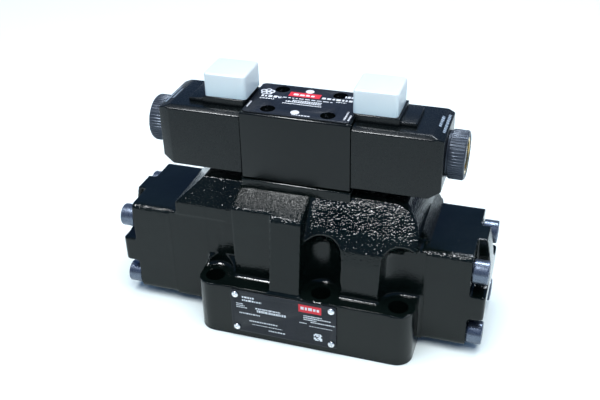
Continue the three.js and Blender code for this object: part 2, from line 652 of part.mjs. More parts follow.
function protectiveCap() {
  const { x, half, y, wall, edge } = CAP;
  const bottom = PLINTH.top + GAP - PILOT_Z;
  const top = CAP.top - PILOT_Z;
  const shell = (inset) => {
    const [halfX, halfY] = [half - inset, y - inset];
    return roundedOutline(x - halfX, x + halfX, -halfY, halfY, edge - inset);
  };
  const hollow = prism("z", shell(wall), bottom - PAST, top - wall, 2);
  return cut(prism("z", shell(0), bottom, top, 2), hollow);
}

// Grip ring: a band of axial ridges between two smooth rims, with a stepped-down neck.
function coilNut() {
  const { x0, x1, neckR, rimX0, rimR, edge } = NUT;
  const bore = INSERT.r + GAP;
  const rim = turned([
    [x0, bore], [x0, neckR], [rimX0, neckR], [rimX0, rimR], [x1 - edge, rimR], [x1, rimR - edge],
    [x1, bore], [x0, bore],
  ]);
  const outline = [];
  for (let i = 0; i < 2 * KNURL.ridges; i += 1) {
    const radius = i % 2 === 0 ? KNURL.rootR : KNURL.r;
    const turn = (Math.PI * i) / KNURL.ridges;
    outline.push([radius * Math.cos(turn), radius * Math.sin(turn)]);
  }
  const inside = rod("x", rimR - KNURL.wall, KNURL.x0 - PAST, KNURL.x1 + PAST);
  return join(rim, cut(prism("x", outline, KNURL.x0, KNURL.x1), inside));
}

function nutInsert() {
  const { r, hole, x0, x1, edge } = INSERT;
  return turned([[x0, hole], [x0, r], [x1 - edge, r], [x1, r - edge], [x1, hole], [x0, hole]]);
}

function overridePin() {
  const { r, x0, x1, edge } = OVERRIDE;
  return turned([[x0, 0], [x0, r], [x1 - edge, r], [x1, r - edge], [x1, 0]], SMALL_ROUND);
}

function buildPilotStage() {
  const stage = new THREE.Group();
  stage.add(meshOf("pilot_body", pilotBody(), smoothEnamel));
  stage.add(meshOf("pilot_label", pilotLabel(), platePaint));
  PILOT_SCREW_PLACES.forEach(([x, y], i) => {
    const screw = meshOf(`pilot_screw_${i + 1}`, socketScrew(PILOT_SCREW), blackSteel);
    screw.rotation.y = -Math.PI / 2;
    screw.position.set(x, y, PILOT_SCREW.seat + GAP);
    stage.add(screw);
  });

  const spoolLine = new THREE.Group();
  spoolLine.position.z = PILOT_Z;
  spoolLine.add(meshOf("pilot_spool", pilotSpool(), bareSteel));
  stage.add(spoolLine);

  for (const [side, turn] of [["left", Math.PI], ["right", 0]]) {
    const end = new THREE.Group();
    end.rotation.z = turn;
    const seatX = PILOT_SPOOL.half + GAP;
    const seatEnd = seatX + PILOT_RETAINER.thick;
    const retainer = flatRing(PILOT_RETAINER, seatX, seatEnd, SMALL_ROUND);
    end.add(meshOf(`${side}_spring_retainer`, retainer, bareSteel));
    end.add(meshOf(`${side}_return_spring`, coilSpring(PILOT_SPRING, seatEnd + GAP, PILOT.x), springSteel));
    end.add(meshOf(`${side}_core_tube`, coreTube(), bareSteel));
    end.add(meshOf(`${side}_armature`, armature(), bareSteel));
    end.add(meshOf(`${side}_coil`, coil(), mouldedBlack));
    end.add(meshOf(`${side}_terminal_block`, terminalBlock(), mouldedBlack));
    end.add(meshOf(`${side}_protective_cap`, protectiveCap(), capPlastic));
    end.add(meshOf(`${side}_coil_nut`, coilNut(), mouldedBlack));
    end.add(meshOf(`${side}_nut_insert`, nutInsert(), brass));
    end.add(meshOf(`${side}_override_pin`, overridePin(), bareSteel));
    spoolLine.add(end);
  }
  return stage;
}

valve.add(buildMainStage(), buildPilotStage());
export default valve;
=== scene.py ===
"""Fine meshes, materials, light and camera for the solenoid directional valve.

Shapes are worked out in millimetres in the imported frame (X along the spools, -Y the rating
plate side, Z up from the mounting face) and stored in metres.
"""
import json
import math
import random

import bpy
from mathutils import Matrix, Vector, noise

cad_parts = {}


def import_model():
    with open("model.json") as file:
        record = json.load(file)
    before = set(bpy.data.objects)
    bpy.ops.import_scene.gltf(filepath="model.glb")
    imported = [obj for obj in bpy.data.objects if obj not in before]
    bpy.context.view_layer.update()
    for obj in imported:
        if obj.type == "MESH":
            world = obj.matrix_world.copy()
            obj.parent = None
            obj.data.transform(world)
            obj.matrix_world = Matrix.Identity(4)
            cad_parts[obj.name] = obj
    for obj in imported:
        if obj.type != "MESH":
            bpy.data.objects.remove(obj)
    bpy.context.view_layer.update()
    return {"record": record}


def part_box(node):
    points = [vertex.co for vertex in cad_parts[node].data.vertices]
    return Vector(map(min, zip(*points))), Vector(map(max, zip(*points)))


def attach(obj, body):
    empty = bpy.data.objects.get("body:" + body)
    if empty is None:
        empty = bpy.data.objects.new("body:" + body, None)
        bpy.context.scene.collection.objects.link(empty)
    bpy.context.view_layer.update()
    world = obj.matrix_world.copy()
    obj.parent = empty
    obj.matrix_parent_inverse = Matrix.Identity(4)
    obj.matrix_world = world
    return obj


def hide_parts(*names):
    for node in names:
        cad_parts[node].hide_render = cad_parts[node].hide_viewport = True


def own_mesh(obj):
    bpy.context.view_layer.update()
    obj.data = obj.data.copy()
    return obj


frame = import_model()

MM = 0.001
FINE = 64            # facets of a large round edge
MEDIUM = 40          # facets of a screw or a small round part
ON_AXIS = 1e-6       # a radius below this is a point on the axis
PAST = 1             # how far a cutting tool runs past the face it leaves
PLATE_SEED, LABEL_SEED, COIL_SEED = 11, 23, 31
BODY_OF = {}
for body_name, members in frame["record"]["behaviour"]["bodies"].items():
    for member in members:
        BODY_OF[member] = body_name


def low_high(node):
    """A CAD node's lowest and highest corner, in millimetres."""
    low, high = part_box(node)
    return low / MM, high / MM


# ---- places read from the frame -----------------------------------------------------
CASTING_HIGH = low_high("main_body")[1]
PILOT_LOW, PILOT_HIGH = low_high("pilot_body")
COIL_LOW, COIL_HIGH = low_high("right_coil")
COVER_LOW, COVER_HIGH = low_high("right_end_cover")
SPOOL_LOW, SPOOL_HIGH = low_high("main_spool")
NUT_LOW, NUT_HIGH = low_high("right_coil_nut")
SPOOL_Z = (SPOOL_LOW.z + SPOOL_HIGH.z) / 2
PILOT_Z = (NUT_LOW.z + NUT_HIGH.z) / 2
FLANGE_Y = CASTING_HIGH.y
PAD_TOP = CASTING_HIGH.z
BLOCK_X = CASTING_HIGH.x


def centre_of(node):
    """The middle of a CAD node's box, in millimetres."""
    low, high = low_high(node)
    return (low + high) / 2


# ---- meshes -------------------------------------------------------------------------
def place(axis, u, v, w):
    """The point at w along an axis, with u and v along its outline: (y, z), (z, x) or (x, y)."""
    if axis == "x":
        return (w, u, v)
    if axis == "y":
        return (v, w, u)
    return (u, v, w)


def new_object(name, verts, faces):
    """A linked object with its faces turned outwards."""
    mesh = bpy.data.meshes.new(name)
    mesh.from_pydata(verts, [], faces)
    mesh.validate()
    obj = bpy.data.objects.new(name, mesh)
    bpy.context.scene.collection.objects.link(obj)
    face_out(obj)
    return obj


def face_out(obj):
    """Turns every face of a closed mesh outwards."""
    mesh = obj.data
    volume = 0.0
    for face in mesh.polygons:
        first = mesh.vertices[face.vertices[0]].co
        for i in range(1, len(face.vertices) - 1):
            second = mesh.vertices[face.vertices[i]].co
            third = mesh.vertices[face.vertices[i + 1]].co
            volume += first.dot(second.cross(third))
    if volume < 0:
        mesh.flip_normals()


def prism(axis, outline, low, high):
    """A closed outline drawn out along an axis, from low to high."""
    count = len(outline)
    verts = [place(axis, u, v, w) for w in (low, high) for u, v in outline]
    faces = [tuple(range(count)), tuple(range(2 * count - 1, count - 1, -1))]
    for i in range(count):
        after = (i + 1) % count
        faces.append((i, i + count, after + count, after))
    return new_object("piece", verts, faces)


def box(x0, x1, y0, y1, z0, z1):
    return prism("z", [(x0, y0), (x1, y0), (x1, y1), (x0, y1)], z0, z1)


def circle(r, centre=(0, 0), facets=FINE):
    angles = [2 * math.pi * i / facets for i in range(facets)]
    return [(centre[0] + r * math.cos(a), centre[1] + r * math.sin(a)) for a in angles]


def rod(axis, r, low, high, centre=(0, 0), facets=FINE):
    return prism(axis, circle(r, centre, facets), low, high)


def arc(centre, radii, start, end, steps):
    """Points of an ellipse's arc, with angles in degrees."""
    points = []
    for i in range(steps + 1):
        a = math.radians(start + (end - start) * i / steps)
        points.append((centre[0] + radii[0] * math.cos(a), centre[1] + radii[1] * math.sin(a)))
    return points


def rounded(u0, u1, v0, v1, r, steps=8):
    """A rectangle's outline with rounded corners."""
    corners = [(u1 - r, v0 + r, -90), (u1 - r, v1 - r, 0), (u0 + r, v1 - r, 90), (u0 + r, v0 + r, 180)]
    points = []
    for u, v, start in corners:
        points += arc((u, v), (r, r), start, start + 90, steps)
    return points


def turned(profile, facets=FINE):
    """A turned piece about X. The profile's (x, radius) points end on the axis or close up."""
    verts, rings = [], []
    for x, r in profile:
        if r < ON_AXIS:
            rings.append([len(verts)] * facets)
            verts.append((x, 0, 0))
        else:
            rings.append(list(range(len(verts), len(verts) + facets)))
            verts += [(x, y, z) for y, z in circle(r, facets=facets)]
    closed = profile[0][1] > ON_AXIS
    pairs = list(zip(rings, rings[1:] + rings[:1])) if closed else list(zip(rings, rings[1:]))
    faces = []
    for near, far in pairs:
        for i in range(facets):
            j = (i + 1) % facets
            corners = list(dict.fromkeys((near[i], near[j], far[j], far[i])))
            if len(corners) > 2:
                faces.append(tuple(corners))
    return new_object("piece", verts, faces)


def evaluated(obj):
    """Applies an object's modifiers."""
    graph = bpy.context.evaluated_depsgraph_get()
    mesh = bpy.data.meshes.new_from_object(obj.evaluated_get(graph))
    obj.modifiers.clear()
    old = obj.data
    obj.data = mesh
    bpy.data.meshes.remove(old)
    return obj


def boolean(obj, tool, operation):
    """Changes obj by the tool, and removes the tool."""
    modifier = obj.modifiers.new("boolean", "BOOLEAN")
    modifier.operation = operation
    modifier.solver = "MANIFOLD"
    modifier.object = tool
    evaluated(obj)
    bpy.data.objects.remove(tool)
    return obj


def join(first, *others):
    for other in others:
        boolean(first, other, "UNION")
    return first


def cut(obj, *tools):
    return boolean(obj, join(*tools), "DIFFERENCE")


def common(first, second):
    return boolean(first, second, "INTERSECT")


def turn_half(obj):
    """Turns a piece half round about Z, from the right end of the valve to the left."""
    obj.data.transform(Matrix.Rotation(math.pi, 4, "Z"))
    return obj


def bevel(obj, width, segments=3, angle=30):
    modifier = obj.modifiers.new("bevel", "BEVEL")
    modifier.width = width
    modifier.segments = segments
    modifier.limit_method = "ANGLE"
    modifier.angle_limit = math.radians(angle)
    modifier.harden_normals = False
    return evaluated(obj)


def cast_skin(obj, voxel, passes):
    """Remeshes a piece and rounds its edges, as a sand casting's edges are."""
    remesh = obj.modifiers.new("remesh", "REMESH")
    remesh.mode = "VOXEL"
    remesh.voxel_size = voxel
    smooth = obj.modifiers.new("smooth", "SMOOTH")
    smooth.factor = 0.5
    smooth.iterations = passes
    return evaluated(obj)


def shade(obj, angle):
    """Smooth shading that keeps edges sharper than the angle."""
    mesh = obj.data
    mesh.shade_smooth()
    mesh.set_sharp_from_angle(angle=math.radians(angle))


def finish_piece(obj, name, material, nodes, body=None, angle=35):
    """Names a piece, stores it in metres, and ties it to a body and to the nodes it replaces."""
    obj.data.transform(Matrix.Scale(MM, 4))
    obj.name = name
    obj.data.name = name
    obj.data.materials.clear()
    obj.data.materials.append(material)
    shade(obj, angle)
    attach(obj, body or BODY_OF[nodes[0]])
    if nodes:
        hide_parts(*nodes)
    return obj


# ---- materials ----------------------------------------------------------------------
PAINT_IOR = 1.33             # refractive index of every coat and plastic here
SKIN_GRAIN = 820             # bumps per metre on the unmachined skin
SKIN_RELIEF = 0.00055
PEEL_GRAIN = 130             # slow waves of the paint, per metre
PEEL_RELIEF, PEEL_STRENGTH = 0.0001, 0.6
NOISE_LOW, NOISE_HIGH = 0.3, 0.7
MIX_FIRST, MIX_SECOND, MIX_RESULT = 6, 7, 2     # sockets of a Mix node set to colours


def tree_of(name):
    """A new material, its nodes and links, and its shader."""
    material = bpy.data.materials.new(name)
    material.use_nodes = True
    nodes = material.node_tree.nodes
    return material, nodes, material.node_tree.links, nodes["Principled BSDF"]


def noise_node(nodes, links, scale, detail=4.0, stretch=(1, 1, 1)):
    """Noise over the object's own coordinates; scale is in features per metre."""
    coordinates = nodes.new("ShaderNodeTexCoord")
    mapping = nodes.new("ShaderNodeMapping")
    mapping.inputs["Scale"].default_value = stretch
    texture = nodes.new("ShaderNodeTexNoise")
    texture.inputs["Scale"].default_value = scale
    texture.inputs["Detail"].default_value = detail
    links.new(coordinates.outputs["Object"], mapping.inputs["Vector"])
    links.new(mapping.outputs["Vector"], texture.inputs["Vector"])
    return texture


def spread(nodes, links, source, low, high):
    """Maps noise to a range of numbers."""
    ranged = nodes.new("ShaderNodeMapRange")
    ranged.inputs["From Min"].default_value = NOISE_LOW
    ranged.inputs["From Max"].default_value = NOISE_HIGH
    ranged.inputs["To Min"].default_value = low
    ranged.inputs["To Max"].default_value = high
    links.new(source, ranged.inputs["Value"])
    return ranged.outputs["Result"]


def blend_colours(nodes, links, factor, first, second):
    """A colour between two, by a factor from 0 to 1."""
    mix = nodes.new("ShaderNodeMix")
    mix.data_type = "RGBA"
    mix.inputs[MIX_FIRST].default_value = (*first, 1)
    mix.inputs[MIX_SECOND].default_value = (*second, 1)
    links.new(factor, mix.inputs[0])
    return mix.outputs[MIX_RESULT]


def bump_of(nodes, links, height, distance, strength=1.0, under=None):
    """Relief of a height, in metres, laid over another normal if one is given."""
    bump = nodes.new("ShaderNodeBump")
    bump.inputs["Distance"].default_value = distance
    bump.inputs["Strength"].default_value = strength
    links.new(height, bump.inputs["Height"])
    if under:
        links.new(under, bump.inputs["Normal"])
    return bump.outputs["Normal"]


def surface(name, dark, light, rough, grain, bump, metal=0.0, stretch=(1, 1, 1), tone=60):
    """A solid finish: two close colours, a range of roughness, and a grain (per metre) in relief."""
    material, nodes, links, shader = tree_of(name)
    clouds = noise_node(nodes, links, tone)
    grains = noise_node(nodes, links, grain, stretch=stretch)
    colour = blend_colours(nodes, links, spread(nodes, links, clouds.outputs["Fac"], 0, 1), dark, light)
    links.new(colour, shader.inputs["Base Color"])
    links.new(spread(nodes, links, grains.outputs["Fac"], *rough), shader.inputs["Roughness"])
    links.new(bump_of(nodes, links, grains.outputs["Fac"], bump), shader.inputs["Normal"])
    shader.inputs["Metallic"].default_value = metal
    shader.inputs["IOR"].default_value = PAINT_IOR
    return material


def cast_enamel():
    """Gloss enamel on cast iron; the mesh's rough attribute marks the unmachined skin."""
    material, nodes, links, shader = tree_of("cast_enamel")
    mask = nodes.new("ShaderNodeAttribute")
    mask.attribute_name = "rough"
    clouds = noise_node(nodes, links, 45).outputs["Fac"]
    skin = noise_node(nodes, links, SKIN_GRAIN, detail=1)
    peel = noise_node(nodes, links, PEEL_GRAIN, detail=2)
    tint = spread(nodes, links, clouds, 0, 1)
    colour = blend_colours(nodes, links, tint, (0.0014, 0.003, 0.0026), (0.0026, 0.005, 0.0044))
    links.new(colour, shader.inputs["Base Color"])
    links.new(spread(nodes, links, clouds, 0.1, 0.17), shader.inputs["Roughness"])
    shader.inputs["IOR"].default_value = PAINT_IOR
    relief = nodes.new("ShaderNodeMath")
    relief.operation = "MULTIPLY"
    links.new(skin.outputs["Fac"], relief.inputs[0])
    links.new(mask.outputs["Fac"], relief.inputs[1])
    waves = bump_of(nodes, links, peel.outputs["Fac"], PEEL_RELIEF, PEEL_STRENGTH)
    normal = bump_of(nodes, links, relief.outputs["Value"], SKIN_RELIEF, under=waves)
    links.new(normal, shader.inputs["Normal"])
    return material


def milky_plastic():
    """Translucent moulded polyethylene with painted shade: darker and bluer towards its open lower edge,
    lighter at its top.
    """
    material, nodes, links, shader = tree_of("cap_plastic")
    coordinates = nodes.new("ShaderNodeTexCoord")
    split = nodes.new("ShaderNodeSeparateXYZ")
    height = nodes.new("ShaderNodeMapRange")
    low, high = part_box("right_protective_cap")
    height.inputs["From Min"].default_value = low.z
    height.inputs["From Max"].default_value = high.z
    links.new(coordinates.outputs["Object"], split.inputs["Vector"])
    links.new(split.outputs["Z"], height.inputs["Value"])
    # Painted shade: the cap's colour runs from a lighter top down to a darker, bluer lower edge.
    colour = blend_colours(nodes, links, height.outputs["Result"], (0.58, 0.76, 0.84), (0.68, 0.78, 0.81))
    links.new(colour, shader.inputs["Base Color"])
    clouds = noise_node(nodes, links, 70)
    links.new(spread(nodes, links, clouds.outputs["Fac"], 0.28, 0.4), shader.inputs["Roughness"])
    grain = noise_node(nodes, links, 900)
    links.new(bump_of(nodes, links, grain.outputs["Fac"], 0.00008), shader.inputs["Normal"])
    shader.inputs["Subsurface Weight"].default_value = 0.5
    shader.inputs["Subsurface Radius"].default_value = (0.006, 0.007, 0.008)
    shader.inputs["Subsurface Scale"].default_value = 1.0
    return material


CAST = cast_enamel()
ENAMEL = surface(
    "smooth_enamel", (0.0018, 0.003, 0.003), (0.003, 0.0045, 0.0045),
    rough=(0.16, 0.28), grain=1500, bump=0.00004, tone=40,
)
MOULDED = surface(
    "moulded_black", (0.0018, 0.003, 0.0034), (0.003, 0.0048, 0.005),
    rough=(0.2, 0.32), grain=1900, bump=0.00004, tone=50,
)
GRIP = surface(
    "grip_black", (0.035, 0.043, 0.056), (0.05, 0.06, 0.076),
    rough=(0.34, 0.44), grain=1400, bump=0.00005, metal=0.5, tone=90,
)
SCREW = surface(
    "black_steel", (0.1, 0.12, 0.155), (0.14, 0.165, 0.21),
    rough=(0.24, 0.34), grain=900, bump=0.00007, metal=0.8, tone=120,
)
STEEL = surface(
    "bare_steel", (0.42, 0.43, 0.45), (0.56, 0.57, 0.58),
    rough=(0.22, 0.36), grain=700, bump=0.00004, metal=1, stretch=(12, 1, 1),
)
SPRING_WIRE = surface(
    "spring_steel", (0.25, 0.26, 0.28), (0.34, 0.35, 0.37),
    rough=(0.25, 0.4), grain=900, bump=0.00005, metal=1,
)
RUBBER = surface(
    "seal_rubber", (0.010, 0.010, 0.011), (0.018, 0.018, 0.018),
    rough=(0.55, 0.75), grain=1600, bump=0.00008,
)
PLATE = surface(
    "plate_paint", (0.006, 0.008, 0.012), (0.010, 0.012, 0.018),
    rough=(0.26, 0.4), grain=2000, bump=0.00003, tone=80,
)
RIVET_METAL = surface(
    "rivet_steel", (0.62, 0.63, 0.65), (0.8, 0.81, 0.82),
    rough=(0.22, 0.36), grain=1800, bump=0.00008, metal=1,
)
BRASS = surface(
    "brass", (0.50, 0.36, 0.14), (0.68, 0.50, 0.22),
    rough=(0.22, 0.38), grain=900, bump=0.00006, metal=1,
)
FAINT_PRINT = surface(
    "print_grey", (0.20, 0.26, 0.32), (0.30, 0.37, 0.44),
    rough=(0.4, 0.55), grain=2600, bump=0.00002, tone=900,
)
PRINT = surface(
    "print_white", (0.55, 0.58, 0.62), (0.75, 0.78, 0.8),
    rough=(0.4, 0.55), grain=2600, bump=0.00002, tone=900,
)
BADGE = surface(
    "badge_red", (0.55, 0.02, 0.035), (0.68, 0.035, 0.05),
    rough=(0.3, 0.42), grain=2600, bump=0.00002, tone=200,
)
CAP_PLASTIC = milky_plastic()


# ---- main stage ---------------------------------------------------------------------
BOLTS = [(-53.2, -46.05), (23.8, -46.05), (77, -46.05), (-53.2, 46.05), (0, 46.05), (77, 46.05)]
FLANGE_LOW_X, FLANGE_HIGH_X = -64.6, 88.4
FLANGE_TOP = 41.7
FLANGE_CORNER = 11.4
BLOCK_Y = 33
BLOCK_BOTTOM = COVER_LOW.z
BLOCK_TOP = COVER_HIGH.z
BLOCK_EDGE = 2.5
WALL_Y = 33.3
HUMP_X = 86.2
HUMP_RUN = 20
TAIL_X = 91                  # foot of the long slope behind the hump's front shoulder
TAIL_RUN = 16
TAIL_LOW = 80
TAIL_Y = -20                 # front edge of that slope
SHOULDER_Z = 87
HUMP_TOP = 106
HUMP_TOP_Y = 22.5
PAD_X, PAD_Y = 38, 25
PAD_EDGE = 0.8
SCOOP_R = 13.2
SCOOP_TOP = 72
BOLT_HOLE_R = 6.75
SEAT_Z = 40.9
SEAT_R = 10.6
SPOT_R, SPOT_Z = 11.8, 41.3  # the cast ring around each bolt's seat, before its skin is rounded
SPOT_TOP = 58
SEAT_CUT_TOP = 50
RIB_BOTTOM = FLANGE_TOP - 1
LOW_RIB = [(26, 103.7), (43, 98), (44.5, 95.5), (44.5, RIB_BOTTOM)]
TALL_RIB = [(26, 103.7), (46, 97), (48.5, 94), (56, RIB_BOTTOM)]
SHOULDER = [(24.5, 103.5), (38, 87), (44.5, 77), (46.5, 68), (48, RIB_BOTTOM)]
BROW = [(24.5, 103.5), (38, 87), (41, 82), (33, 76)]
FOOT = [(WALL_Y - 1, 51), (36, 45.5), (42, RIB_BOTTOM)]
LOW_RIB_X0, TALL_RIB_X0, TALL_RIB_X1 = -39, -10.5, 11.2
FRONT_SHOULDER_X1, FRONT_BROW_X0, FRONT_FOOT_X1 = 77, 60, -35
BACK_SHOULDER_X0, BACK_SHOULDER_X1 = -42, 62
BACK_BROW_X0, BACK_BROW_X1, BACK_LEFT_BROW_X1 = 55, 80, -35
BACK_LEFT_FOOT_X1, BACK_FOOT_X0 = -40, 60
FOOT_INSET = 2
MASS_DEPTH = 4               # how far a wall mass reaches in past the edge of the hump's top
CAST_VOXEL = 0.9
CAST_PASSES = 3
CAST_SWELL, CAST_SWELL_SIZE = 0.2, 9
SPARE = 4                    # length left on a piece for its flat faces to be cut from


def hump_ends(right_end):
    """Ends of the hump: a straight slope on the left, and the given outline on the right."""
    low = BLOCK_TOP - PAST
    outline = [(low, -HUMP_X), (SHOULDER_Z, -HUMP_X), (HUMP_TOP, -HUMP_X + HUMP_RUN)]
    return prism("y", outline + right_end + [(low, right_end[-1][1])], -FLANGE_Y, FLANGE_Y)


def front_end():
    """A quarter ellipse from the hump's top down to its front right shoulder."""
    return arc((SHOULDER_Z, HUMP_X - HUMP_RUN), (HUMP_TOP - SHOULDER_Z, HUMP_RUN), 0, 90, 16)


def tail_end():
    """The long straight slope behind the front shoulder."""
    return [(HUMP_TOP, TAIL_X - TAIL_RUN), (TAIL_LOW, TAIL_X)]


def ridge(y0):
    """The hump's long ridge, from y0 to its back."""
    low = BLOCK_TOP - PAST
    half = [(WALL_Y, low), (WALL_Y, SHOULDER_Z), (HUMP_TOP_Y, HUMP_TOP)]
    whole = prism("x", half + [(-y, z) for y, z in reversed(half)], -BLOCK_X, BLOCK_X)
    return common(whole, box(-BLOCK_X, BLOCK_X, y0, WALL_Y, low, HUMP_TOP))


def hump():
    front = common(ridge(-WALL_Y), hump_ends(front_end()))
    return join(front, common(ridge(TAIL_Y), hump_ends(tail_end())))


def wall_mass(side, x0, x1, points):
    """A mass on the casting's front (-1) or back (+1) wall; points run down its outside."""
    inner = HUMP_TOP_Y - MASS_DEPTH
    closed = points + [(inner, points[-1][1]), (inner, points[0][1])]
    return prism("x", [(side * y, z) for y, z in closed], x0, x1)


def cast_masses():
    """Ribs, shoulders, brows and feet on the front wall, then on the back wall."""
    return [
        wall_mass(-1, LOW_RIB_X0, TALL_RIB_X0, LOW_RIB),
        wall_mass(-1, TALL_RIB_X0, TALL_RIB_X1, TALL_RIB),
        wall_mass(-1, TALL_RIB_X1, FRONT_SHOULDER_X1, SHOULDER),
        common(wall_mass(-1, FRONT_BROW_X0, BLOCK_X, BROW), hump_ends(front_end())),
        wall_mass(-1, FLANGE_LOW_X + FOOT_INSET, FRONT_FOOT_X1, FOOT),
        wall_mass(1, BACK_SHOULDER_X0, BACK_SHOULDER_X1, SHOULDER),
        common(wall_mass(1, BACK_BROW_X0, BACK_BROW_X1, BROW), hump_ends(tail_end())),
        common(wall_mass(1, -BLOCK_X, BACK_LEFT_BROW_X1, BROW), hump_ends(tail_end())),
        wall_mass(1, FLANGE_LOW_X + FOOT_INSET, BACK_LEFT_FOOT_X1, FOOT),
        wall_mass(1, BACK_FOOT_X0, FLANGE_HIGH_X - FOOT_INSET, FOOT),
    ]


def scoop(at):
    """The round-topped hollow above a mounting bolt."""
    dome = arc((SCOOP_TOP, 0), (SCOOP_R, SCOOP_R), 90, 0, 16)
    obj = turned([(FLANGE_TOP, 0), (FLANGE_TOP, SCOOP_R), *dome])
    obj.data.transform(Matrix.Rotation(-math.pi / 2, 4, "Y"))
    obj.data.transform(Matrix.Translation((*at, 0)))
    return obj


def clamped(value):
    return min(max(value, 0), 1)


ROUGH_TILT, ROUGH_TILT_RANGE, ROUGH_GAIN = 0.6, 0.45, 1.6   # by the height of a face's normal
ROUGH_LOW_Z, ROUGH_FADE = SHOULDER_Z - 22, 10
SMOOTHEST = 0.2


def mark_rough(obj):
    """Stores how rough the cast skin is at each point: most of all on the sloping shoulders."""
    mesh = obj.data
    attribute = mesh.attributes.new("rough", "FLOAT", "POINT")
    for vertex in mesh.vertices:
        x, y, z = vertex.co
        slope = max(1 - abs(vertex.normal.z - ROUGH_TILT) / ROUGH_TILT_RANGE, 0)
        high = clamped((z - ROUGH_LOW_Z) / ROUGH_FADE)
        beside_pad = abs(y) > PAD_Y or abs(x) > PAD_X
        share = clamped(slope * ROUGH_GAIN) * high * beside_pad
        attribute.data[vertex.index].value = SMOOTHEST + (1 - SMOOTHEST) * share


def lumps(obj, height, size, fixed):
    """Slow swells of the cast skin, sunk below the drawn surface; fixed says what to leave flat."""
    vertices = obj.data.vertices
    normals = [vertex.normal.copy() for vertex in vertices]
    for vertex, normal in zip(vertices, normals):
        if not fixed(*vertex.co):
            swell = noise.noise(vertex.co / size)
            vertex.co -= normal * height * (0.5 + 0.5 * swell)


NEAR_FACE, NEAR_EDGE = 1.5, 1.2     # depth under a flat face that the swells leave alone


def casting_machined(x, y, z):
    """Whether a point lies by a flat face of the casting."""
    flat = z < NEAR_FACE or z > PAD_TOP - NEAR_FACE or abs(x) > BLOCK_X - NEAR_FACE
    return flat or abs(y) > FLANGE_Y - NEAR_EDGE or x < FLANGE_LOW_X + NEAR_EDGE


def main_casting():
    """The casting before drilling: flange, block and hump under one cast skin, and the pad."""
    outline = rounded(FLANGE_LOW_X, FLANGE_HIGH_X, -FLANGE_Y, FLANGE_Y, FLANGE_CORNER, 12)
    flange = prism("z", outline, -SPARE, FLANGE_TOP)
    end = BLOCK_X + SPARE
    block = prism("x", rounded(-BLOCK_Y, BLOCK_Y, BLOCK_BOTTOM, BLOCK_TOP, BLOCK_EDGE), -end, end)
    body = join(flange, block, hump(), *cast_masses())
    cut(body, *[scoop(at) for at in BOLTS])
    cut(body, *[rod("z", SPOT_R, SPOT_Z, SPOT_TOP, at) for at in BOLTS])
    cast_skin(body, CAST_VOXEL, CAST_PASSES)
    lumps(body, CAST_SWELL, CAST_SWELL_SIZE, casting_machined)
    common(body, box(-BLOCK_X, BLOCK_X, -FLANGE_Y, FLANGE_Y, 0, HUMP_TOP + PAST))
    return join(body, bevel(box(-PAD_X, PAD_X, -PAD_Y, PAD_Y, BLOCK_TOP, PAD_TOP), PAD_EDGE, 3))


# Ports: bore radius, seal recess radius and depth. Places in the mounting face are (x, y, port).
MAIN_PORT = (11.7, 15, 36)
SMALL_PORT = (5.6, 9.5, 18)
PORTS = {
    "p": (0, -28.55, MAIN_PORT),
    "t": (47.6, -28.55, MAIN_PORT),
    "a": (23.8, 28.55, MAIN_PORT),
    "b": (-23.8, 28.55, MAIN_PORT),
    "x": (59.5, 26.95, SMALL_PORT),
    "y": (-35.7, -27.05, SMALL_PORT),
    "l": (71.4, 0, SMALL_PORT),
}
SEAL_RECESS = 2.5
RECESS_PAST = 1.1            # not PAST, so that no end lies on a bore's end
LOCATING_HOLES = [(-17.5, -50.85), (47.6, 46.05)]
LOCATING_R, LOCATING_DEPTH = 3.75, 8
BORE_R = 16
SCREW_YZ = [(-24.8, 25.2), (24.8, 25.2), (-24.8, -25.2), (24.8, -25.2)]    # about the main spool
SCREW_HOLE_R = 5.3
SCREW_HOLE_X = 70
PILOT_SCREWS = [(-20.25, -15.5), (20.25, -15.5), (-20.25, 15.5), (20.25, 15.5)]
PILOT_SCREW_HOLE_R, PILOT_SCREW_HOLE_Z = 2.8, 98
PILOT_PORTS = [(1.25, 10.4), (1.25, -10.4), (-7.55, 0), (9.95, 0)]
PILOT_PORT_R, PILOT_PORT_Z = 3.2, 95


def drill_casting(body):
    """Cuts everything machined into the casting."""
    tools = [rod("z", BOLT_HOLE_R, -PAST, BLOCK_TOP, at) for at in BOLTS]
    tools += [rod("z", SEAT_R, SEAT_Z, SEAT_CUT_TOP, at) for at in BOLTS]
    for x, y, (r, recess_r, depth) in PORTS.values():
        tools.append(rod("z", r, -PAST, depth, (x, y)))
        tools.append(rod("z", recess_r, -RECESS_PAST, SEAL_RECESS, (x, y)))
    tools += [rod("z", LOCATING_R, -PAST, LOCATING_DEPTH, at, MEDIUM) for at in LOCATING_HOLES]
    end = BLOCK_X + PAST
    tools.append(rod("x", BORE_R, -end, end, (0, SPOOL_Z)))
    for y, z in SCREW_YZ:
        at = (y, SPOOL_Z + z)
        tools.append(rod("x", SCREW_HOLE_R, SCREW_HOLE_X, end, at, MEDIUM))
        tools.append(rod("x", SCREW_HOLE_R, -end, -SCREW_HOLE_X, at, MEDIUM))
    above = PAD_TOP + PAST
    tools += [rod("z", PILOT_SCREW_HOLE_R, PILOT_SCREW_HOLE_Z, above, at, MEDIUM) for at in PILOT_SCREWS]
    tools += [rod("z", PILOT_PORT_R, PILOT_PORT_Z, above, at, MEDIUM) for at in PILOT_PORTS]
    return cut(body, *tools)


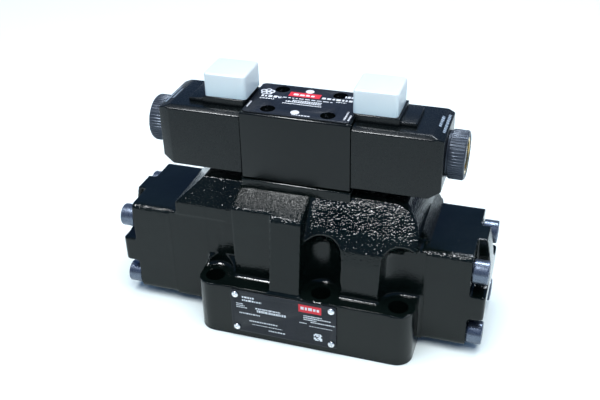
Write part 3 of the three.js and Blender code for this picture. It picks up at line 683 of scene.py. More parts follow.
# ---- end covers and their screws ----------------------------------------------------------
COVER_X1 = COVER_HIGH.x
SEAM_X = BLOCK_X + 0.05
COVER_EDGE = 5
END_EDGE = 3.5
COVER_DOME = 4.5             # how far the end's middle stands out past its top and bottom
DOME_STATIONS = [i / 8 - 1 for i in range(17)]
POCKET_X = 121.3
POCKET_R = 14
ARM_Y, ARM_Z = 9, 9.5        # half widths of the cross between the four screw pockets
SPOT_FACE_R, SPOT_FACE_DEPTH = 9.4, 0.1
CHAMBER_R = 20
CHAMBER_X = 117.5
COVER_VOXEL = 0.8
COVER_SWELL, COVER_SWELL_SIZE = 0.15, 8
SEAM_BAND = 2                # width of the flat band beside the seam


def round_ended(low, high, x0, x1, r):
    """An outline (x, across) that is square at x0 and has rounded corners at x1."""
    points = [(x0, low)]
    points += arc((x1 - r, low + r), (r, r), -90, 0, 8)
    points += arc((x1 - r, high - r), (r, r), 0, 90, 8)
    return points + [(x0, high)]


def screw_pocket(y, z):
    """The pocket around one cover screw, from the cross's arms out past the cover's corner."""
    far = 2 * BLOCK_Y
    ys = sorted((math.copysign(ARM_Y, y), math.copysign(far, y)))
    zs = sorted((math.copysign(ARM_Z, z), math.copysign(far, z)))
    return prism("x", rounded(*ys, *zs, POCKET_R, 12), POCKET_X, COVER_X1 + PAST)


def end_cover():
    """The right end cover in place. Four screw pockets leave a cross on its outer end."""
    top, bottom = BLOCK_TOP - SPOOL_Z, BLOCK_BOTTOM - SPOOL_Z
    x0 = SEAM_X - SPARE
    cover = prism("x", rounded(-BLOCK_Y, BLOCK_Y, bottom, top, COVER_EDGE, 10), x0, COVER_X1)
    common(cover, prism("z", round_ended(-BLOCK_Y, BLOCK_Y, x0, COVER_X1, END_EDGE), bottom, top))
    side = [(bottom, x0)]
    for t in DOME_STATIONS:
        side.append(((top - bottom) * (t + 1) / 2 + bottom, COVER_X1 - COVER_DOME * t * t))
    side.append((top, x0))
    common(cover, prism("y", side, -BLOCK_Y, BLOCK_Y))
    for at in SCREW_YZ:
        cut(cover, screw_pocket(*at))
    cast_skin(cover, COVER_VOXEL, CAST_PASSES)
    lumps(cover, COVER_SWELL, COVER_SWELL_SIZE, lambda x, y, z: x < SEAM_X + SEAM_BAND)
    common(cover, box(SEAM_X, COVER_X1, -BLOCK_Y, BLOCK_Y, bottom, top))
    tools = [rod("x", CHAMBER_R, SEAM_X - PAST, CHAMBER_X)]
    for at in SCREW_YZ:
        tools.append(rod("x", SCREW_HOLE_R, SEAM_X - PAST, COVER_X1, at, MEDIUM))
        tools.append(rod("x", SPOT_FACE_R, POCKET_X - SPOT_FACE_DEPTH, COVER_X1 + PAST, at))
    cut(cover, *tools)
    cover.data.transform(Matrix.Translation((0, 0, SPOOL_Z)))
    return cover


# Socket screws: thread radius, head radius and length, thread length, key radius and depth.
COVER_SCREW = (5, 8, 10, 45, 4.62, 5)
PILOT_SCREW = (2.45, 4.25, 5, 48, 2.3, 2.5)
COVER_SCREW_TURN, PILOT_SCREW_TURN = 17, 23     # degrees from one key to the next
SEAT_GAP = 0.3               # between a screw's head and its seat


def socket_screw(r, head_r, head_len, length, key_r, key_depth):
    """A socket-head screw along -X with its seat at x = 0, with a rolled edge on its head."""
    edge = head_r * 0.1
    tip = r * 0.2
    mouth = head_len - edge * 0.6
    profile = [(-length, 0), (-length, r - tip), (-length + tip, r), (0, r)]
    profile += [(0, head_r - edge / 2), (edge / 2, head_r)]
    profile += [(head_len - edge + v, head_r - edge + u) for u, v in arc((0, 0), (edge, edge), 0, 90, 6)]
    profile += [(head_len, key_r + edge * 0.8), (mouth, key_r), (mouth, 0)]
    screw = turned(profile, MEDIUM)
    return cut(screw, rod("x", key_r, head_len - key_depth, head_len + PAST, (0, 0), 6))


def cover_screws():
    for side in ("left", "right"):
        for i, (y, z) in enumerate(SCREW_YZ):
            name = f"{side}_cover_screw_{i + 1}"
            screw = socket_screw(*COVER_SCREW)
            screw.data.transform(Matrix.Rotation(math.radians(COVER_SCREW_TURN * i), 4, "X"))
            screw.data.transform(Matrix.Translation((POCKET_X + SEAT_GAP, y, z + SPOOL_Z)))
            if side == "left":
                turn_half(screw)
            finish_piece(screw, f"{name}_fine", SCREW, [name])


def ring_seal(name, wire_r, ring_r, axis="z"):
    """A round seal in place of a CAD node, centred on the node's box."""
    bpy.ops.mesh.primitive_torus_add(
        major_radius=ring_r, minor_radius=wire_r, major_segments=72, minor_segments=14
    )
    seal = bpy.context.object
    if axis == "x":
        seal.data.transform(Matrix.Rotation(math.pi / 2, 4, "Y"))
    seal.data.transform(Matrix.Translation(centre_of(name)))
    return finish_piece(seal, f"{name}_fine", RUBBER, [name], angle=60)


# ---- rating plate, and print made of plain bars with no letters in them ------------------
BOX_FACES = ((0, 3, 2, 1), (4, 5, 6, 7), (0, 1, 5, 4), (1, 2, 6, 5), (2, 3, 7, 6), (3, 0, 4, 7))


def flat_bars(rects, axis, level, thick):
    """Thin bars as one mesh; each rect is (u0, u1, v0, v1) with u and v along the outline."""
    verts, faces = [], []
    for u0, u1, v0, v1 in rects:
        start = len(verts)
        for w in (level, level + thick):
            verts += [place(axis, u, v, w) for u, v in ((u0, v0), (u1, v0), (u1, v1), (u0, v1))]
        for quad in BOX_FACES:
            faces.append(tuple(start + i for i in quad))
    return new_object("piece", verts, faces)


def bar_line(draw, along, across, length, height, mean):
    """A row of short bars, like a line of print seen from afar: (start, end, low, high)."""
    at, bars = along, []
    while at < along + length:
        run = mean * draw.uniform(0.5, 1.6)
        end = min(at + run, along + length)
        bars.append((at, end, across, across + height * draw.uniform(0.8, 1)))
        at = end + mean * 0.45
    return bars


def crossed(bars):
    """The same bars with their two directions changed over."""
    return [(low, high, start, end) for start, end, low, high in bars]


def print_piece(ink, name, material):
    """Print has no CAD node of its own, and rides on the valve's body."""
    finish_piece(ink, name, material, [], "valve_body")


PLATE_LOW, PLATE_HIGH = low_high("rating_plate")
PLATE_CORNER = 2
PLATE_EDGE = 0.12
PLATE_RIVET_INSET = 3.6
PLATE_RIVET_HOLE_R = 2.1
INK = 0.06                   # thickness of the plate's print
BADGE_INK = 0.05
# Lines of print: distance from the plate's left (+) or right (-) edge and from its top, length,
# height and mean length of a word.
PLATE_LINES = [
    (8.5, 5.6, 9, 1.5, 1.2), (8.5, 8.2, 14, 1.5, 1.2), (4, 11.5, 5, 0.8, 0.6),
    (4, 13, 6, 0.8, 0.6), (4, 14.5, 8, 0.8, 0.6), (6, 19.5, 15, 1.1, 1.1),
    (13, 25.4, 21, 1.1, 1.1), (27, 31.5, 12, 1.1, 1.1), (-23, 11.6, 13, 0.9, 0.8),
    (-23, 13.2, 19, 0.9, 0.8), (-23, 14.8, 9, 0.9, 0.8), (-18, 16.4, 17, 0.9, 0.9),
    (-26, 18.2, 5, 0.8, 0.7), (-19, 19.8, 16, 0.5, 1.0), (15, 28, 22, 0.5, 0.9),
    (19, 16.2, 21, 2.0, 1.0), (18, 13.6, 18, 1.2, 0.9),
]
CODE_SIZE, CODE_CELLS, CODE_FILL = 6, 7, 0.62
CODE_X, CODE_Z = 16, 4.4     # the square code's distance from the plate's right and bottom edges
PLATE_BADGE_X0, PLATE_BADGE_X1 = 26.5, 10.5
PLATE_BADGE_Z0, PLATE_BADGE_Z1 = 8.4, 2.2
PLATE_BADGE_LINE = (25, 6.2, 13, 2.4, 1.9)


def rating_plate():
    x0, x1, z0, z1 = PLATE_LOW.x, PLATE_HIGH.x, PLATE_LOW.z, PLATE_HIGH.z
    plate = prism("y", rounded(z0, z1, x0, x1, PLATE_CORNER), PLATE_LOW.y, PLATE_HIGH.y)
    inset = PLATE_RIVET_INSET
    for x in (x0 + inset, x1 - inset):
        for z in (z0 + inset, z1 - inset):
            cut(plate, rod("y", PLATE_RIVET_HOLE_R, PLATE_LOW.y - PAST, PLATE_HIGH.y + PAST, (z, x), MEDIUM))
    bevel(plate, PLATE_EDGE, 2)
    finish_piece(plate, "rating_plate_fine", PLATE, ["rating_plate"])
    plate_print(random.Random(PLATE_SEED))


def plate_print(draw):
    """Lines, the square code, and the red badge with its own line."""
    x0, x1, z0, z1 = PLATE_LOW.x, PLATE_HIGH.x, PLATE_LOW.z, PLATE_HIGH.z
    level = PLATE_LOW.y - INK
    bars = []
    for across, down, length, height, mean in PLATE_LINES:
        start = x0 + across if across > 0 else x1 + across
        bars += crossed(bar_line(draw, start, z1 - down, length, height, mean))
    bars += square_code(draw, z0 + CODE_Z, x1 - CODE_X)
    print_piece(flat_bars(bars, "y", level, INK), "rating_plate_print", PRINT)
    red = (z1 - PLATE_BADGE_Z0, z1 - PLATE_BADGE_Z1, x1 - PLATE_BADGE_X0, x1 - PLATE_BADGE_X1)
    print_piece(flat_bars([red], "y", level, INK), "rating_plate_badge", BADGE)
    across, down, length, height, mean = PLATE_BADGE_LINE
    line = crossed(bar_line(draw, x1 - across, z1 - down, length, height, mean))
    print_piece(flat_bars(line, "y", level - BADGE_INK, BADGE_INK), "rating_plate_badge_print", PRINT)


def square_code(draw, u0, v0):
    """A square of cells, some of them filled."""
    cell = CODE_SIZE / CODE_CELLS
    bars = []
    for column in range(CODE_CELLS):
        for row in range(CODE_CELLS):
            if draw.random() < CODE_FILL:
                u, v = u0 + row * cell, v0 + column * cell
                bars.append((u, u + cell, v, v + cell))
    return bars


RIVET_LEN, RIVET_R, RIVET_HEAD_R, RIVET_HEAD = 5, 1.9, 2.4, 0.9


def plate_rivets():
    """Four drive rivets with domed heads, each with a dimple."""
    dome = arc((0, RIVET_HEAD), (RIVET_HEAD, RIVET_HEAD_R - RIVET_HEAD), 75, 0, 5)
    shank = [(-RIVET_LEN, 0), (-RIVET_LEN, RIVET_R), (0, RIVET_R), (0, RIVET_HEAD_R)]
    dimple = [(0.45, 0.7), (0.2, 0.45), (0.2, 0)]
    for i in range(1, 5):
        name = f"plate_rivet_{i}"
        at = centre_of(name)
        outer = low_high(name)[0].y
        rivet = turned(shank + dome + dimple, MEDIUM)
        rivet.data.transform(Matrix.Rotation(-math.pi / 2, 4, "Z"))
        rivet.data.transform(Matrix.Translation((at.x, outer + RIVET_HEAD, at.z)))
        finish_piece(rivet, f"{name}_fine", RIVET_METAL, [name])


# ---- pilot stage --------------------------------------------------------------------
PILOT_EDGE = 1.5
PILOT_END_EDGE = 0.25
PILOT_BORE_R = 5
PILOT_CHAMBER_R = 9
PILOT_CHAMBER_X = 24
PILOT_SEAT_Z = 148
PILOT_COUNTERBORE_R = 5
LABEL_LOW, LABEL_HIGH = low_high("pilot_label")
LABEL_CORNER = 2.5
LABEL_EDGE = 0.1


def pilot_body():
    x, y = PILOT_HIGH.x, PILOT_HIGH.y
    under, above = PILOT_LOW.z - PAST, PILOT_HIGH.z + PAST
    body = prism("x", rounded(-y, y, PILOT_LOW.z, PILOT_HIGH.z, PILOT_EDGE, 6), -x, x)
    bevel(body, PILOT_END_EDGE, 2)
    cut(body, rod("x", PILOT_BORE_R, -x - PAST, x + PAST, (0, PILOT_Z)))
    for low, high in ((-x - PAST, -PILOT_CHAMBER_X), (PILOT_CHAMBER_X, x + PAST)):
        cut(body, rod("x", PILOT_CHAMBER_R, low, high, (0, PILOT_Z)))
    for at in PILOT_SCREWS:
        cut(body, rod("z", PILOT_SCREW_HOLE_R, under, PILOT_SEAT_Z + PAST, at, MEDIUM))
        cut(body, rod("z", PILOT_COUNTERBORE_R, PILOT_SEAT_Z, above, at))
    for at in PILOT_PORTS:
        cut(body, rod("z", PILOT_PORT_R, under, PILOT_Z, at, MEDIUM))
    finish_piece(body, "pilot_body_fine", ENAMEL, ["pilot_body"])


def pilot_label():
    x, y = LABEL_HIGH.x, LABEL_HIGH.y
    sheet = prism("z", rounded(-x, x, -y, y, LABEL_CORNER), LABEL_LOW.z, LABEL_HIGH.z)
    for at in PILOT_SCREWS:
        cut(sheet, rod("z", PILOT_COUNTERBORE_R, LABEL_LOW.z - PAST, LABEL_HIGH.z + PAST, at))
    bevel(sheet, LABEL_EDGE, 2)
    finish_piece(sheet, "pilot_label_fine", PLATE, ["pilot_label"])
    label_print(random.Random(LABEL_SEED))


LABEL_INK = 0.05
LABEL_BADGE = (-13.5, 8, 6.6, 13.2)
LABEL_BADGE_LINE = (-10.5, 8.4, 15.5, 2.6, 2.2)
# Lines along X: x, y, length, height and mean length of a word. Columns along Y: x, y, length, height.
LABEL_LINES = [
    (-31, 1.5, 15, 3.0, 2.2), (-31, -1.4, 10, 1.4, 1.1), (9.5, 7.2, 24, 2.8, 2.2),
    (20, 4.6, 7, 1.1, 1.1), (-20, 3.2, 38, 1.1, 2.4), (-12.5, -2.6, 24, 2.0, 0.9),
    (-14, -5.2, 27, 1.2, 0.8), (-2.5, -20.5, 12, 1.3, 1.2), (-8.5, -0.2, 20, 1.6, 0.9),
    (24, 12.5, 10, 3.4, 1.4),
]
LABEL_COLUMNS = [(31.2, -19, 12, 1.2), (34, -19.5, 8, 1.3), (-35, -16, 9, 1.2)]
COLUMN_WORD = 1.1
LABEL_DISCS = [(-1.2, 16.2), (-1.4, -16.6)]
DISC_R = 2.9
SYMBOL_AT = (-29, 9.5)
SYMBOL_RADII = (2.9, 2.4)
SYMBOL_RINGS = 5
RING_R, RING_HOLE_R = 2.3, 1.3


def label_print(draw):
    """Print on the pilot's label: a badge, lines of bars, edge columns, two discs and a symbol."""
    low, high = LABEL_HIGH.z, LABEL_HIGH.z + LABEL_INK
    print_piece(flat_bars([LABEL_BADGE], "z", low, LABEL_INK), "pilot_label_badge", BADGE)
    mark = flat_bars(bar_line(draw, *LABEL_BADGE_LINE), "z", high, LABEL_INK)
    print_piece(mark, "pilot_label_badge_print", PRINT)
    bars = []
    for line in LABEL_LINES:
        bars += bar_line(draw, *line)
    for x, y, length, height in LABEL_COLUMNS:
        bars += crossed(bar_line(draw, y, x, length, height, COLUMN_WORD))
    ink = flat_bars(bars, "z", low, LABEL_INK)
    join(ink, *[rod("z", DISC_R, low, high, at) for at in LABEL_DISCS])
    for i in range(SYMBOL_RINGS):
        turn = 2 * math.pi * i / SYMBOL_RINGS + math.pi / 2
        across, along = SYMBOL_RADII
        at = (SYMBOL_AT[0] + across * math.cos(turn), SYMBOL_AT[1] + along * math.sin(turn))
        hole = rod("z", RING_HOLE_R, low - PAST, low + PAST, at, 20)
        join(ink, cut(rod("z", RING_R, low, high, at, 28), hole))
    print_piece(ink, "pilot_label_print", PRINT)


def pilot_screws():
    for i, at in enumerate(PILOT_SCREWS):
        name = f"pilot_screw_{i + 1}"
        screw = socket_screw(*PILOT_SCREW)
        screw.data.transform(Matrix.Rotation(math.radians(PILOT_SCREW_TURN * i), 4, "X"))
        screw.data.transform(Matrix.Rotation(-math.pi / 2, 4, "Y"))
        screw.data.transform(Matrix.Translation((*at, PILOT_SEAT_Z + SEAT_GAP)))
        finish_piece(screw, f"{name}_fine", SCREW, [name])


# ---- solenoids, modelled on the right-hand end about the armatures' axis --------------
COIL_X0, COIL_X1 = COIL_LOW.x, COIL_HIGH.x
COIL_Y = COIL_HIGH.y
COIL_BOTTOM = COIL_LOW.z - PILOT_Z
COIL_TOP = 156.7 - PILOT_Z
COIL_BORE_R = 9.8
TAPER_X = 88                 # the outer end tapers from here on all four sides
TAPER_SIDE, TAPER_TOP, TAPER_BOTTOM = 2.5, 2.8, 4.5
TOP_BAND, TOP_DROP = 3.8, 1.9    # width and fall of the bevel along the coil's long top edges
MOULDED_EDGE = 0.7
PLINTH_X1 = 66.4
PLINTH_Y = 14.7
PLINTH_TOP = COIL_HIGH.z - PILOT_Z
PLINTH_EDGE = 0.5
PLATEAU_X1 = 77
PLATEAU_Y = 13
PLATEAU_RISE = 2.8
SUNK = 2                     # how far the plinth and the plateau reach down into the coil


def coil():
    x0, x1, y, top, bottom = COIL_X0, COIL_X1, COIL_Y, COIL_TOP, COIL_BOTTOM
    end_y = y - TAPER_SIDE
    plan = [(x0, -y), (TAPER_X, -y), (x1, -end_y), (x1, end_y), (TAPER_X, y), (x0, y)]
    block = prism("z", plan, bottom, top)
    end_bottom, end_top = bottom + TAPER_BOTTOM, top - TAPER_TOP
    side = [(bottom, x0), (bottom, TAPER_X), (end_bottom, x1), (end_top, x1), (top, TAPER_X), (top, x0)]
    common(block, prism("y", side, -y - PAST, y + PAST))
    half = [(y, bottom), (y, top - TOP_DROP), (y - TOP_BAND, top)]
    common(block, prism("x", half + [(-v, z) for v, z in reversed(half)], x0 - PAST, x1 + PAST))
    bevel(block, MOULDED_EDGE, 4, angle=12)
    plinth = box(x0, PLINTH_X1, -PLINTH_Y, PLINTH_Y, top - SUNK, PLINTH_TOP)
    plateau = box(x0, PLATEAU_X1, -PLATEAU_Y, PLATEAU_Y, top - SUNK, top + PLATEAU_RISE)
    join(block, bevel(plinth, PLINTH_EDGE, 3), bevel(plateau, MOULDED_EDGE, 3))
    return cut(block, rod("x", COIL_BORE_R, x0 - PAST, x1 + PAST))


COIL_LINES = [(-5.5, 1.4, 15), (-11, 5, 26)]     # start along Y, distance down the slope, length
COIL_WORD, COIL_PRINT_HEIGHT = 1.5, 2


def coil_print():
    """Two rows of bars across the sloping outer top of each coil."""
    draw = random.Random(COIL_SEED)
    for side in ("left", "right"):
        bars = []
        for start, down, length in COIL_LINES:
            bars += crossed(bar_line(draw, start, down, length, COIL_PRINT_HEIGHT, COIL_WORD))
        ink = flat_bars(bars, "z", 0.01, 0.04)
        ink.data.transform(Matrix.Rotation(math.atan2(TAPER_TOP, COIL_X1 - TAPER_X), 4, "Y"))
        ink.data.transform(Matrix.Translation((TAPER_X, 0, COIL_TOP + PILOT_Z)))
        if side == "left":
            turn_half(ink)
        print_piece(ink, f"{side}_coil_print", FAINT_PRINT)


CAP_LOW, CAP_HIGH = low_high("right_protective_cap")
CAP_WALL = 1.2
CAP_EDGE, CAP_TOP_EDGE = 2.6, 1.5


def protective_cap():
    """A thin moulded cap, open below, with a soft top edge."""
    x0, x1, y = CAP_LOW.x, CAP_HIGH.x, CAP_HIGH.y
    bottom, top = CAP_LOW.z - PILOT_Z, CAP_HIGH.z - PILOT_Z
    shell = prism("z", rounded(x0, x1, -y, y, CAP_EDGE), bottom - SPARE, top)
    bevel(shell, CAP_TOP_EDGE, 5, angle=50)
    common(shell, box(x0 - PAST, x1 + PAST, -y - PAST, y + PAST, bottom, top + PAST))
    wall = CAP_WALL
    inside = rounded(x0 + wall, x1 - wall, -y + wall, y - wall, CAP_EDGE - wall)
    return cut(shell, prism("z", inside, bottom - PAST, top - wall))


NUT_X0, NUT_X1 = NUT_LOW.x, NUT_HIGH.x
KNURL_X0, KNURL_X1 = 98.1, 107.2
NUT_R = 16.1
KNURL_ROOT_R = 15.2
RIM_R, RIM_X0 = 15.7, KNURL_X0 - 0.8
NECK_R = 15.1
RIDGES, RIDGE_STEPS = 48, 8
RIDGE_SHAPE = 0.6            # below 1 the ridges are fuller than a wave
KNURL_EDGE = 0.3
KNURL_WALL = 2
INSERT_LOW, INSERT_HIGH = low_high("right_nut_insert")
INSERT_R = 12.4
INSERT_HOLE_R = 9.85
INSERT_GAP = 0.3


def coil_nut():
    """The grip ring: rounded ridges between two smooth rims, and a stepped-down neck."""
    bore = INSERT_R + INSERT_GAP
    ring = turned([
        (NUT_X0, bore), (NUT_X0, NECK_R), (RIM_X0, NECK_R), (RIM_X0, RIM_R - 0.4), (RIM_X0 + 0.4, RIM_R),
        (NUT_X1 - 1, RIM_R), (NUT_X1 - 0.35, RIM_R - 0.25), (NUT_X1, RIM_R - 1),
        (NUT_X1, bore + 0.8), (NUT_X1 - 0.5, bore),
    ], 96)
    outline = []
    for i in range(RIDGES * RIDGE_STEPS):
        a = 2 * math.pi * i / (RIDGES * RIDGE_STEPS)
        wave = (0.5 + 0.5 * math.cos(a * RIDGES)) ** RIDGE_SHAPE
        r = KNURL_ROOT_R + (NUT_R - KNURL_ROOT_R) * wave
        outline.append((r * math.cos(a), r * math.sin(a)))
    band = bevel(prism("x", outline, KNURL_X0, KNURL_X1), KNURL_EDGE, 2, angle=60)
    cut(band, rod("x", RIM_R - KNURL_WALL, KNURL_X0 - PAST, KNURL_X1 + PAST))
    return join(ring, band)


def nut_insert():
    """A brass ring whose outer face is dished between two lips."""
    x0, x1 = INSERT_LOW.x, INSERT_HIGH.x
    return turned([
        (x0, INSERT_HOLE_R), (x0, INSERT_R), (x1 - 0.5, INSERT_R), (x1, INSERT_R - 0.5),
        (x1, INSERT_R - 2.2), (x1 - 0.4, INSERT_R - 2.5), (x1 - 0.4, INSERT_HOLE_R + 1),
        (x1 - 1, INSERT_HOLE_R),
    ])


TUBE_R = 9.5
TUBE_PIN_R = 2.2
TUBE_CHAMBER_R = 7.7
POLE_FACE_X, PLUG_FACE_X = 55.3, 86.1


def core_tube():
    """The tube: a chamber for the armature, and a hole through each end for a pin."""
    low, high = low_high("right_core_tube")
    x0, x1 = low.x, high.x
    return turned([
        (x0, TUBE_PIN_R), (x0, TUBE_R), (x1 - 2.2, TUBE_R), (x1 - 0.9, TUBE_R - 0.4), (x1, TUBE_R - 1.4),
        (x1, 4.2), (x1 - 0.8, 3.4), (x1 - 0.8, TUBE_PIN_R),
        (PLUG_FACE_X, TUBE_PIN_R), (PLUG_FACE_X, TUBE_CHAMBER_R),
        (POLE_FACE_X, TUBE_CHAMBER_R), (POLE_FACE_X, TUBE_PIN_R),
    ])


def override_pin():
    """A pin with a rounded outer end."""
    low, high = low_high("right_override_pin")
    r = high.y
    return turned([
        (low.x, 0), (low.x, r - 0.3), (low.x + 0.3, r), (high.x - 0.7, r),
        (high.x - 0.25, r * 0.8), (high.x, r * 0.45), (high.x, 0),
    ], MEDIUM)


PUSH_PIN_R, PUSH_PIN_X1 = 1.9, 58.5


def armature():
    """The armature with its push pin towards the pilot spool."""
    low, high = low_high("right_armature")
    r, pin_r, pin_x1 = high.y, PUSH_PIN_R, PUSH_PIN_X1
    return turned([
        (low.x, 0), (low.x, pin_r - 0.4), (low.x + 0.4, pin_r), (pin_x1, pin_r), (pin_x1, r - 0.5),
        (pin_x1 + 0.5, r), (high.x - 0.5, r), (high.x, r - 0.5), (high.x, 0),
    ])


TERMINAL_X, TERMINAL_HALF, TERMINAL_Y = 50.4, 12, 11
TERMINAL_BASE = 3
BLADE_HALF, BLADE_THICK, BLADE_SPREAD = 3, 0.8, 9
BLADE_EDGE = 0.25


def terminal_block():
    """The connector's base with two contact blades across X and an earth blade across Y."""
    low, high = low_high("right_terminal_block")
    bottom, blade_top = low.z - PILOT_Z, high.z - PILOT_Z
    base_top = bottom + TERMINAL_BASE
    x, half, thin = TERMINAL_X, TERMINAL_HALF, BLADE_THICK / 2
    base = bevel(box(x - half, x + half, -TERMINAL_Y, TERMINAL_Y, bottom, base_top), PLINTH_EDGE, 3)
    blades = [(at - thin, at + thin, -BLADE_HALF, BLADE_HALF) for at in (x - BLADE_SPREAD, x + BLADE_SPREAD)]
    blades.append((x - BLADE_HALF, x + BLADE_HALF, BLADE_SPREAD - thin, BLADE_SPREAD + thin))
    for sides in blades:
        join(base, bevel(box(*sides, base_top - PAST, blade_top), BLADE_EDGE, 2))
    return base


def solenoid_pieces():
    kinds = [
        ("coil", coil, MOULDED, "moulded_black", 32),
        ("protective_cap", protective_cap, CAP_PLASTIC, "cap_plastic", 40),
        ("coil_nut", coil_nut, GRIP, "moulded_black", 30),
        ("nut_insert", nut_insert, BRASS, "brass", 30),
        ("core_tube", core_tube, STEEL, "bare_steel", 30),
        ("override_pin", override_pin, STEEL, "bare_steel", 30),
        ("armature", armature, STEEL, "bare_steel", 30),
        ("terminal_block", terminal_block, MOULDED, "moulded_black", 35),
    ]
    for kind, make, material, slot, angle in kinds:
        for side in ("left", "right"):
            piece = make()
            if side == "left":
                turn_half(piece)
            piece.data.transform(Matrix.Translation((0, 0, PILOT_Z)))
            name = f"{side}_{kind}"
            finish_piece(piece, f"{name}_fine", material, [name], angle=angle)


# ---- inside ---------------------------------------------------------------------------
# Lands along each spool, and the radii of its waist and lands and the width of their broken edges.
MAIN_HALF = 88
MAIN_LANDS = [(-MAIN_HALF, -56), (-33, -15), (15, 33), (56, MAIN_HALF)]
MAIN_SHAPE = (9.5, 15.9, 0.4)
PILOT_HALF, PILOT_STUB = 27, 31
PILOT_LANDS = [(-PILOT_HALF, -17), (-9.5, -4.5), (4.5, 9.5), (17, PILOT_HALF)]
PILOT_SHAPE = (3, 4.9, 0.2)
STUB_EDGE = 0.3


def land_profile(lands, waist_r, land_r, edge):
    """The outline of a row of lands with broken edges on a waist, without its two ends."""
    profile = []
    for x0, x1 in lands:
        profile += [(x0, waist_r), (x0, land_r - edge), (x0 + edge, land_r)]
        profile += [(x1 - edge, land_r), (x1, land_r - edge), (x1, waist_r)]
    return profile[1:-1]


def spools():
    profile = [(-MAIN_HALF, 0), *land_profile(MAIN_LANDS, *MAIN_SHAPE), (MAIN_HALF, 0)]
    main = turned(profile)
    main.data.transform(Matrix.Translation((0, 0, SPOOL_Z)))
    finish_piece(main, "main_spool_fine", STEEL, ["main_spool"], angle=30)
    r, end, neck = PILOT_SHAPE[0], PILOT_STUB, PILOT_HALF
    stub = [(end - STUB_EDGE, r), (end, r - STUB_EDGE), (end, 0)]
    other = [(-x, y) for x, y in reversed(stub)]
    lands = land_profile(PILOT_LANDS, *PILOT_SHAPE)
    pilot = turned([*other, (-neck, r), *lands, (neck, r), *stub], MEDIUM)
    pilot.data.transform(Matrix.Translation((0, 0, PILOT_Z)))
    finish_piece(pilot, "pilot_spool_fine", STEEL, ["pilot_spool"], angle=30)


WASHER_EDGE = 0.25


def plain_washer(name, outer_r, hole_r, axis_z):
    """A flat washer with broken edges, in place of a CAD node."""
    low, high = low_high(name)
    e = WASHER_EDGE
    washer = turned([
        (low.x, hole_r + e), (low.x, outer_r - e), (low.x + e, outer_r), (high.x - e, outer_r),
        (high.x, outer_r - e), (high.x, hole_r + e), (high.x - e, hole_r), (low.x + e, hole_r),
    ])
    washer.data.transform(Matrix.Translation((0, 0, axis_z)))
    finish_piece(washer, f"{name}_fine", STEEL, [name], angle=30)


TURN_STEPS, WIRE_SIDES = 28, 14
CLOSED_ENDS = 0.055          # how strongly a spring's coils close up towards its ends
SQUASH_KEEP = 0.6            # share of a spring's length left at either limit of its spool


def coil_spring(name, r, wire, turns, axis_z, outer_end, joint, keep):
    """A spring with closed ends."""
    low, high = low_high(name)
    x0, x1 = low.x + wire, high.x - wire
    steps, sides = int(turns * TURN_STEPS), WIRE_SIDES
    verts, faces = [], []
    for i in range(steps + 1):
        t = i / steps
        a = 2 * math.pi * turns * t
        along = x0 + (x1 - x0) * (t - math.sin(2 * math.pi * t) * CLOSED_ENDS)
        out = Vector((0, math.cos(a), math.sin(a)))
        centre = Vector((along, 0, axis_z)) + out * r
        for k in range(sides):
            b = 2 * math.pi * k / sides
            verts.append(centre + (out * math.cos(b) + Vector((1, 0, 0)) * math.sin(b)) * wire)
    for i in range(0, steps * sides, sides):
        for k in range(sides):
            after = (k + 1) % sides
            faces.append((i + k, i + after, i + sides + after, i + sides + k))
    faces += [tuple(reversed(range(sides))), tuple(range(steps * sides, (steps + 1) * sides))]
    spring = new_object("piece", verts, faces)
    finish_piece(spring, f"{name}_fine", SPRING_WIRE, [name], "valve_body", angle=50)
    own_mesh(spring)


# Springs: coil radius, wire radius and turns. Washers: outer and hole radius.
CENTERING_SPRING, SPRING_WASHER = (11, 1.5, 4.5), (15, 5)
RETURN_SPRING, SPRING_RETAINER = (6.6, 0.6, 3.5), (8, 3.3)
COVER_SEAL_WIRE, COVER_SEAL_R = 1, 22.5
PORT_SEAL_WIRE = 1.05


def inner_pieces():
    spools()
    for side, sign in (("left", -1), ("right", 1)):
        plain_washer(f"{side}_spring_washer", *SPRING_WASHER, SPOOL_Z)
        plain_washer(f"{side}_spring_retainer", *SPRING_RETAINER, PILOT_Z)
        main_end, pilot_end = sign * CHAMBER_X, sign * PILOT_HIGH.x
        main, pilot, keep = f"{side}_centering_spring", f"{side}_return_spring", SQUASH_KEEP
        coil_spring(main, *CENTERING_SPRING, SPOOL_Z, main_end, "main_spool_slide", keep)
        coil_spring(pilot, *RETURN_SPRING, PILOT_Z, pilot_end, "pilot_spool_slide", keep)
        ring_seal(f"{side}_cover_seal", COVER_SEAL_WIRE, COVER_SEAL_R, "x")
    for letter, (_, _, (r, recess_r, _)) in PORTS.items():
        ring_seal(f"port_seal_{letter}", PORT_SEAL_WIRE, (r + recess_r) / 2)


# ---- building, light and camera -------------------------------------------------------
def main_stage():
    casting = drill_casting(main_casting())
    mark_rough(casting)
    finish_piece(casting, "main_body_fine", CAST, ["main_body"], angle=38)
    for side in ("left", "right"):
        cover, node = end_cover(), f"{side}_end_cover"
        if side == "left":
            turn_half(cover)
        mark_rough(cover)
        finish_piece(cover, f"{node}_fine", CAST, [node], angle=38)
    cover_screws()
    rating_plate()
    plate_rivets()


LIT_POINT = Vector((0, 0, 0.08))


def light(name, place_at, energy, size, colour=(1, 1, 1), glossy=False):
    """A rectangular lamp aimed at the valve: a glossy one only leaves highlights, any other only lights."""
    data = bpy.data.lights.new(name, "AREA")
    data.energy = energy
    data.color = colour
    data.shape = "RECTANGLE"
    data.size, data.size_y = size
    lamp = bpy.data.objects.new(name, data)
    bpy.context.scene.collection.objects.link(lamp)
    lamp.location = place_at
    lamp.rotation_euler = (LIT_POINT - Vector(place_at)).to_track_quat("-Z", "Y").to_euler()
    lamp.visible_glossy = glossy
    lamp.visible_diffuse = not glossy


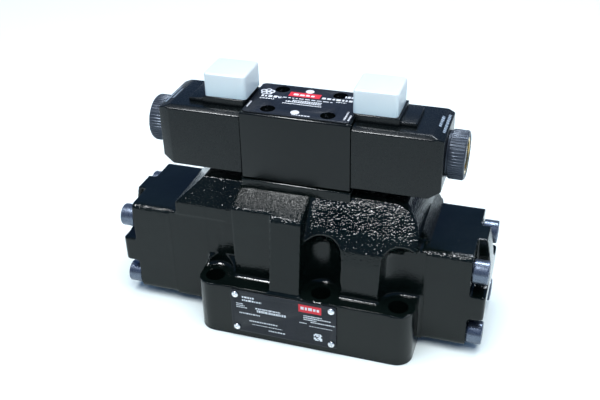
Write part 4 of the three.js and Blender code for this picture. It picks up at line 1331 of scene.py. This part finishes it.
FLOOR_SIZE, FLOOR_Z = 6, -0.0005
FLOOR_COLOUR, FLOOR_ROUGHNESS = (0.84, 0.93, 0.9, 1), 0.9


def floor():
    """A wide pale floor just under the mounting face."""
    bpy.ops.mesh.primitive_plane_add(size=FLOOR_SIZE, location=(0, 0, FLOOR_Z))
    plane = bpy.context.object
    plane.name = "floor"
    material, _, _, shader = tree_of("floor_white")
    shader.inputs["Base Color"].default_value = FLOOR_COLOUR
    shader.inputs["Roughness"].default_value = FLOOR_ROUGHNESS
    plane.data.materials.append(material)


HORIZON_GREY, TOP_BLUE = (0.25, 0.27, 0.3, 1), (0.08, 0.16, 0.33, 1)
BLUE_FROM, SKY_STRENGTH = 0.35, 1.15


def world():
    """Soft surroundings: grey at the horizon, deep blue above."""
    sky = bpy.data.worlds.new("studio")
    sky.use_nodes = True
    nodes, links = sky.node_tree.nodes, sky.node_tree.links
    background = nodes["Background"]
    coordinates = nodes.new("ShaderNodeTexCoord")
    split = nodes.new("ShaderNodeSeparateXYZ")
    ramp = nodes.new("ShaderNodeValToRGB")
    ramp.color_ramp.elements[0].position = 0.0
    ramp.color_ramp.elements[0].color = HORIZON_GREY
    ramp.color_ramp.elements[1].position = BLUE_FROM
    ramp.color_ramp.elements[1].color = TOP_BLUE
    links.new(coordinates.outputs["Generated"], split.inputs["Vector"])
    links.new(split.outputs["Z"], ramp.inputs["Fac"])
    links.new(ramp.outputs["Color"], background.inputs["Color"])
    background.inputs["Strength"].default_value = SKY_STRENGTH
    bpy.context.scene.world = sky


CAMERA_AT = Vector((0.1540, -0.4768, 0.3933))
CAMERA_YAW, CAMERA_PITCH, CAMERA_ROLL = 18.43, 31.7, -1.43
CAMERA_LENS, CAMERA_SENSOR = 50.3, 36
CAMERA_NEAR = 0.01


def camera():
    """The camera, placed by its position in metres and three angles in degrees."""
    data = bpy.data.cameras.new("camera")
    data.lens = CAMERA_LENS
    data.sensor_width = CAMERA_SENSOR
    data.clip_start = CAMERA_NEAR
    view = bpy.data.objects.new("camera", data)
    bpy.context.scene.collection.objects.link(view)
    yaw, pitch, roll = (math.radians(a) for a in (CAMERA_YAW, CAMERA_PITCH, CAMERA_ROLL))
    ahead = Vector((-math.sin(yaw) * math.cos(pitch), math.cos(yaw) * math.cos(pitch), -math.sin(pitch)))
    level = Vector((math.cos(yaw), math.sin(yaw), 0))
    square = level.cross(ahead)
    right = level * math.cos(roll) + square * math.sin(roll)
    up = square * math.cos(roll) - level * math.sin(roll)
    view.matrix_world = Matrix((
        (right.x, up.x, -ahead.x, CAMERA_AT.x),
        (right.y, up.y, -ahead.y, CAMERA_AT.y),
        (right.z, up.z, -ahead.z, CAMERA_AT.z),
        (0, 0, 0, 1),
    ))
    bpy.context.scene.camera = view


def lights():
    light("fill", (0.2, -0.4, 2.2), 95, (2.4, 2.4))
    light("key", (-0.40, -0.44, 1.46), 50, (0.42, 0.25), (0.95, 0.98, 1), glossy=True)
    light("back_strip", (0.25, 0.75, 1.5), 22, (0.8, 0.2), (0.85, 0.92, 1), glossy=True)


camera()
main_stage()
pilot_body()
pilot_label()
pilot_screws()
solenoid_pieces()
coil_print()
inner_pieces()
floor()
world()
lights()
bpy.context.scene.view_settings.view_transform = "Standard"
